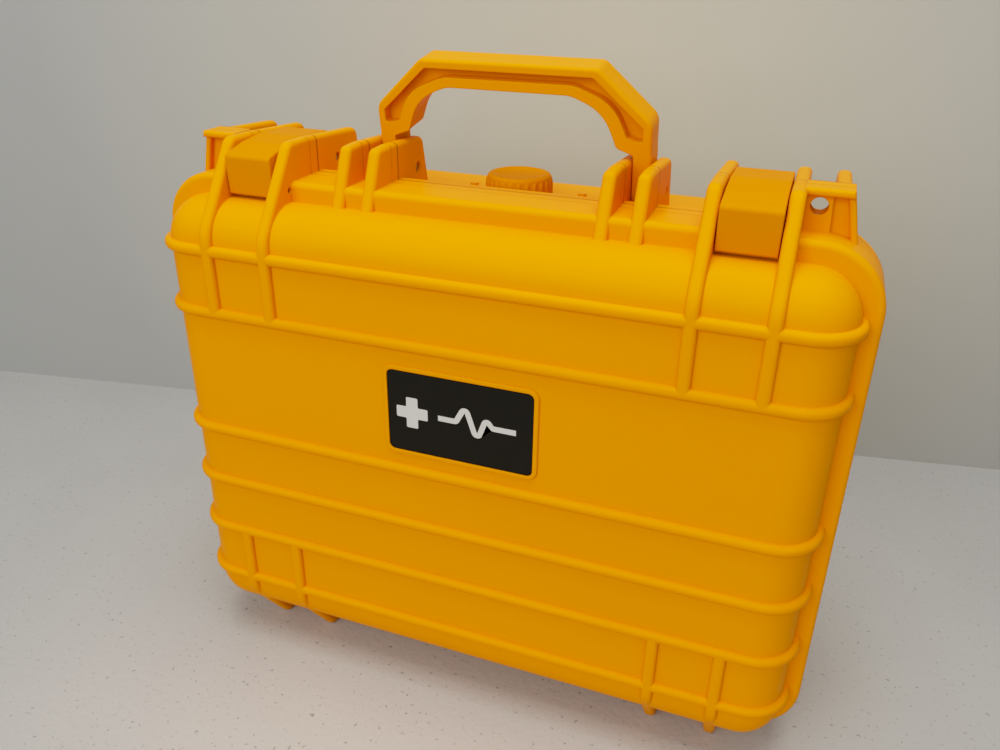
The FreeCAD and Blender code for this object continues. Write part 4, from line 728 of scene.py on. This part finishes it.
def soft_copy(name, node):
    merged = bmesh.new()
    merged.from_mesh(nodes[node].data)
    mesh = from_bmesh(name, merged)
    holder = bpy.data.objects.new(name, mesh)
    bpy.context.scene.collection.objects.link(holder)
    grid = holder.modifiers.new("even", "REMESH")
    grid.mode = "VOXEL"
    grid.voxel_size = VOXEL
    ease = holder.modifiers.new("ease", "SMOOTH")
    ease.iterations = 5
    ease.factor = 0.5
    ready = holder.evaluated_get(bpy.context.evaluated_depsgraph_get())
    made = bpy.data.meshes.new_from_object(ready)
    bpy.data.objects.remove(holder)
    made.materials.clear()
    return made


bed = piece("foam_bed", soft_copy("foam_bed", "base_foam"), "base", "foam_grey",
            stands_for=("base_foam",), smooth_under=80)

# %% The liner in the lid
liner_low, liner_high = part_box("lid_foam")
liner = (liner_low + liner_high) / 2
width, depth, height = liner_high - liner_low
PITCH = 27.0 * MM
BORDER = 12.0 * MM
g = Shape("convoluted_foam", Width=width, Depth=depth, Height=height, Pitch=PITCH,
          Swing=11.0 * MM, Across=int(width / PITCH * 9), Up=int(height / PITCH * 9))
slab = g.node("GeometryNodeMeshCube", inputs={
    "Size": g.vector(g.size("Width"), g.size("Depth"), g.size("Height")),
    "Vertices X": g.size("Across"), "Vertices Y": 3, "Vertices Z": g.size("Up")})
place = g.node("ShaderNodeSeparateXYZ", inputs={0: g.node("GeometryNodeInputPosition")})
x, y, z = (Value(g, place.socket.node.outputs[i]) for i in range(3))


def wave(distance):
    return distance.maths("SINE", distance * math.tau / g.size("Pitch"))


def fade(distance, extent):
    """0 at the slab's border, 1 further in."""
    room = extent * 0.5 - distance.maths("ABSOLUTE", distance)
    return g.node("ShaderNodeMath", {"operation": "DIVIDE", "use_clamp": True},
                  {0: room, 1: BORDER})


open_face = y.maths("GREATER_THAN", y, depth * 0.4)
sunk = (wave(x) * wave(z) - 1.0) * 0.5 * g.size("Swing")
sunk = sunk * open_face * fade(x, g.size("Width")) * fade(z, g.size("Height"))
bumps = g.node("GeometryNodeSetPosition", inputs={"Geometry": slab, "Offset": g.vector(y=sunk)})
foam_mesh = g.mesh(bumps, finishes["foam_grey"])

CORNER = 14.0 * MM  # corner radius, and the sides' lean
points = np.empty(len(foam_mesh.vertices) * 3)
foam_mesh.vertices.foreach_get("co", points)
points = points.reshape(-1, 3)
far_side = points[:, 1] < -depth * 0.4
for axis, extent in ((0, width), (2, height)):
    points[far_side, axis] *= 1 - 2 * CORNER / extent
inside = np.array([width / 2 - CORNER, height / 2 - CORNER])
over = np.abs(points[:, [0, 2]]) - inside
in_corner = (over > 0).all(axis=1)
reach = np.maximum(over.max(axis=1), 1e-9)
span = np.maximum(np.hypot(over[:, 0], over[:, 1]), 1e-9)
for column, axis in enumerate((0, 2)):
    rounded_to = np.sign(points[:, axis]) * (inside[column] + over[:, column] * reach / span)
    points[:, axis] = np.where(in_corner, rounded_to, points[:, axis])
points += np.array(liner)
foam_mesh.vertices.foreach_set("co", points.ravel())
foam_mesh.update()
sheet = piece("foam_liner", foam_mesh, "lid", "foam_grey", stands_for=("lid_foam",),
              smooth_under=60)

# %% [markdown]
# ## The electrode pouch
#
# A laminate bag, welded flat round its edge and full in the middle. Two sheets share the welded
# edge. Each point's thickness follows a pillow curve; folds run inwards from the weld, because
# the flat edge is longer than the swollen middle needs, and they die out towards the crown.

# %% The pouch
POUCH_COLUMNS, POUCH_ROWS = 76, 176
WELD = 5.0 * MM
pouch_low, pouch_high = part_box("electrode_pouch")
pouch_middle = (pouch_low + pouch_high) / 2
half_w, half_d, half_h = (pouch_high - pouch_low) / 2


def pouch_depth(x, z, side):
    """Half the bag's thickness at a point, with its folds."""
    edge_x, edge_z = half_w - abs(x), half_h - abs(z)
    inward = min(edge_x, edge_z) - WELD
    if inward <= 0:
        ridge = math.sin((z if edge_x < edge_z else x) / (0.9 * MM))
        return 0.35 * MM + 0.12 * MM * ridge
    swell_x = 1 - (abs(x) / (half_w - WELD)) ** 2.6
    swell_z = 1 - (abs(z) / (half_h - WELD)) ** 6.0
    swell = max(0.0, swell_x * swell_z) ** 0.5
    along_edge = z if edge_x < edge_z else x
    fold = value_noise.noise(Vector((along_edge / (6.5 * MM), inward / (26 * MM), side * 7.0)))
    crumple = value_noise.fractal(Vector((x, side * 0.05, z)) / (14 * MM), 1.0, 2.0, 3)
    fold_height = 1.7 * MM * fold * math.exp(-inward / (15 * MM)) * min(1.0, inward / (4 * MM))
    full = (half_d - 1.6 * MM) * swell
    return 0.35 * MM + full + fold_height + 0.5 * MM * crumple * swell


shape = bmesh.new()
layers = []
for side in (-1, 1):
    layer = []
    for i in range(POUCH_COLUMNS + 1):
        x = half_w * (2 * i / POUCH_COLUMNS - 1)
        column = []
        for j in range(POUCH_ROWS + 1):
            z = half_h * (2 * j / POUCH_ROWS - 1)
            on_edge = i in (0, POUCH_COLUMNS) or j in (0, POUCH_ROWS)
            out = 0.0 if on_edge else min(pouch_depth(x, z, side), half_d)
            column.append(shape.verts.new((pouch_middle.x + x, pouch_middle.y + side * out,
                                           pouch_middle.z + z)))
        layer.append(column)
    layers.append(layer)
for layer in layers:
    for i in range(POUCH_COLUMNS):
        for j in range(POUCH_ROWS):
            shape.faces.new((layer[i][j], layer[i + 1][j], layer[i + 1][j + 1], layer[i][j + 1]))
pouch = piece("foil_pouch", from_bmesh("foil_pouch", shape), "base", "pouch_foil",
              stands_for=("electrode_pouch",), smooth_under=80)

# %% [markdown]
# ## Print and grips on the defibrillator
#
# A defibrillator explains itself with pictures: a frame round the face and the screen, a chest
# with its two pads, arrows from the socket, a bolt on the shock button and the usual sign on the
# power button. All of it is screen print, made as thin films that stand a tenth of a millimetre
# proud. The marks on the two buttons ride with them. Short ribs along both sides of the housing
# help wet or gloved hands; as they repeat, Geometry Nodes make them on a grid of points.


# %% Bands and films
def band(name, loops, front, thick):
    """Closed lines of even width, as plates: each loop is its points and its width."""
    shape = bmesh.new()
    faces = []
    for points, line_width in loops:
        rings = ([], [])
        for i, here in enumerate(points):
            run = points[(i + 1) % len(points)] - points[i - 1]
            across = Vector((-run.y, run.x)).normalized() * line_width / 2
            for side, offset in zip(rings, (across, -across)):
                side.append(shape.verts.new((here.x + offset.x, front, here.y + offset.y)))
        outer, inner = rings
        for i, _ in enumerate(points):
            k = (i + 1) % len(points)
            faces.append(shape.faces.new((outer[i], outer[k], inner[k], inner[i])))
    rear = bmesh.ops.extrude_face_region(shape, geom=faces)["geom"]
    moved = [v for v in rear if isinstance(v, bmesh.types.BMVert)]
    bmesh.ops.translate(shape, verts=moved, vec=(0, thick, 0))
    return from_bmesh(name, shape)


def box_path(low_x, low_z, high_x, high_z, radius):
    corners = [(low_x, low_z), (high_x, low_z), (high_x, high_z), (low_x, high_z)]
    return rounded_path([(x * MM, z * MM) for x, z in corners], radius * MM)


def arc(middle_x, middle_z, radius, start, stop, steps=28):
    turns = [math.radians(start + (stop - start) * k / steps) for k in range(steps + 1)]
    return [Vector(((middle_x + radius * math.cos(t)) * MM,
                    (middle_z + radius * math.sin(t)) * MM)) for t in turns]


face_low, face_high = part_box("unit_front_housing")
FACE_Y = face_low.y
FILM = 0.1 * MM
loops = [(box_path(-139.0, 70.0, 59.0, 232.0, 9.0), 1.1 * MM),
         (box_path(-66.5, 158.4, 2.5, 203.4, 3.5), 3.4 * MM)]
piece("face_frames", band("face_frames", loops, FACE_Y - FILM, FILM), "base", "label_black")

# %% The pictures
chest = [(-52.0, 84.0), (-52.0, 116.0), (-58.5, 106.0), (-64.0, 108.5), (-55.0, 127.5),
         (-44.5, 132.0), (-42.0, 137.0), (-34.0, 137.0), (-31.5, 132.0), (-21.0, 127.5),
         (-12.0, 108.5), (-17.5, 106.0), (-24.0, 116.0), (-24.0, 84.0)]
body_line = [(rounded_path([(x * MM, z * MM) for x, z in chest], 2.6 * MM), 1.3 * MM),
             (arc(-38.0, 145.6, 6.4, 0.0, 350.0, 34), 1.3 * MM)]
piece("face_chest", band("face_chest", body_line, FACE_Y - FILM, FILM), "base", "label_black")
pads = [rounded_path([(x * MM, z * MM) for x, z in pad], 1.5 * MM)
        for pad in ([(-50.5, 111.0), (-41.5, 111.0), (-41.5, 123.0), (-50.5, 123.0)],
                    [(-34.5, 90.0), (-25.5, 90.0), (-25.5, 102.0), (-34.5, 102.0)])]
for shift in (0.0, 7.0, 14.0):
    pads.append([Vector((x * MM, z * MM)) for x, z in
                 ((-24.0 + shift, 209.5), (-20.5 + shift, 213.0), (-24.0 + shift, 216.5),
                  (-22.3 + shift, 216.5), (-18.8 + shift, 213.0), (-22.3 + shift, 209.5))])
piece("face_pads", plates("face_pads", pads, FACE_Y - FILM, FILM), "base", "label_black")

# %% The marks on the buttons
shock_low, shock_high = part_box("shock_button")
shock = (shock_low + shock_high) / 2
bolt = [(1.6, 9.5), (-6.2, -1.4), (-1.0, -1.4), (-2.0, -9.5), (6.2, 1.6), (1.0, 1.6)]
bolt = rounded_path([(shock.x + x * MM, shock.z + z * MM) for x, z in bolt], 0.5 * MM)
piece("shock_mark", plates("shock_mark", [bolt], shock_low.y - FILM, 5 * FILM), "shock_button",
      "label_white")
power_low, power_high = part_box("power_button")
power = (power_low + power_high) / 2
power_x, power_z = power.x / MM, power.z / MM
broken_ring = stroke(arc(power_x, power_z - 0.6, 4.6, 128.0, 412.0), 1.3 * MM)
bar = stroke([Vector((power.x, power.z + 0.4 * MM)), Vector((power.x, power.z + 6.2 * MM))],
             1.3 * MM)
piece("power_mark", plates("power_mark", [broken_ring, bar], power_low.y - FILM, 5 * FILM),
      "power_button", "label_white")

# %% The grip ribs
g = Shape("grip_ribs", Count=12, Pitch=6.4 * MM, Radius=0.8 * MM, Length=4.2 * MM,
          Apart=(face_high.x - face_low.x) - 6.6 * MM)
grid = g.node("GeometryNodeMeshGrid", inputs={
    "Size X": g.size("Apart"), "Size Y": g.size("Pitch") * (g.size("Count") - 1.0),
    "Vertices X": 2, "Vertices Y": g.size("Count")})
upright_grid = g.node("GeometryNodeTransform", inputs={
    "Geometry": grid, "Rotation": (math.pi / 2, 0.0, 0.0)})
line = g.node("GeometryNodeCurvePrimitiveLine", inputs={
    "Start": g.vector(x=g.size("Length") * -0.5), "End": g.vector(x=g.size("Length") * 0.5)})
line = g.node("GeometryNodeResampleCurve", inputs={"Curve": line, "Count": 13})
across = g.node("GeometryNodeSplineParameter", output="Factor") * 2.0 - 1.0
taper = (1.0 - across ** 6.0) ** 0.5
section = g.node("GeometryNodeCurvePrimitiveCircle",
                 inputs={"Resolution": 14, "Radius": g.size("Radius")})
ridge = g.node("GeometryNodeCurveToMesh", inputs={"Curve": line, "Profile Curve": section,
                                                  "Scale": taper, "Fill Caps": True})
copies = g.node("GeometryNodeInstanceOnPoints",
                inputs={"Points": upright_grid, "Instance": ridge})
moved = g.node("GeometryNodeTransform", inputs={
    "Geometry": copies,
    "Translation": ((face_low.x + face_high.x) / 2, FACE_Y, (face_low.z + face_high.z) / 2)})
piece("grip_ribs", g.mesh(moved, finishes["unit_dark"]), "base", "unit_dark")
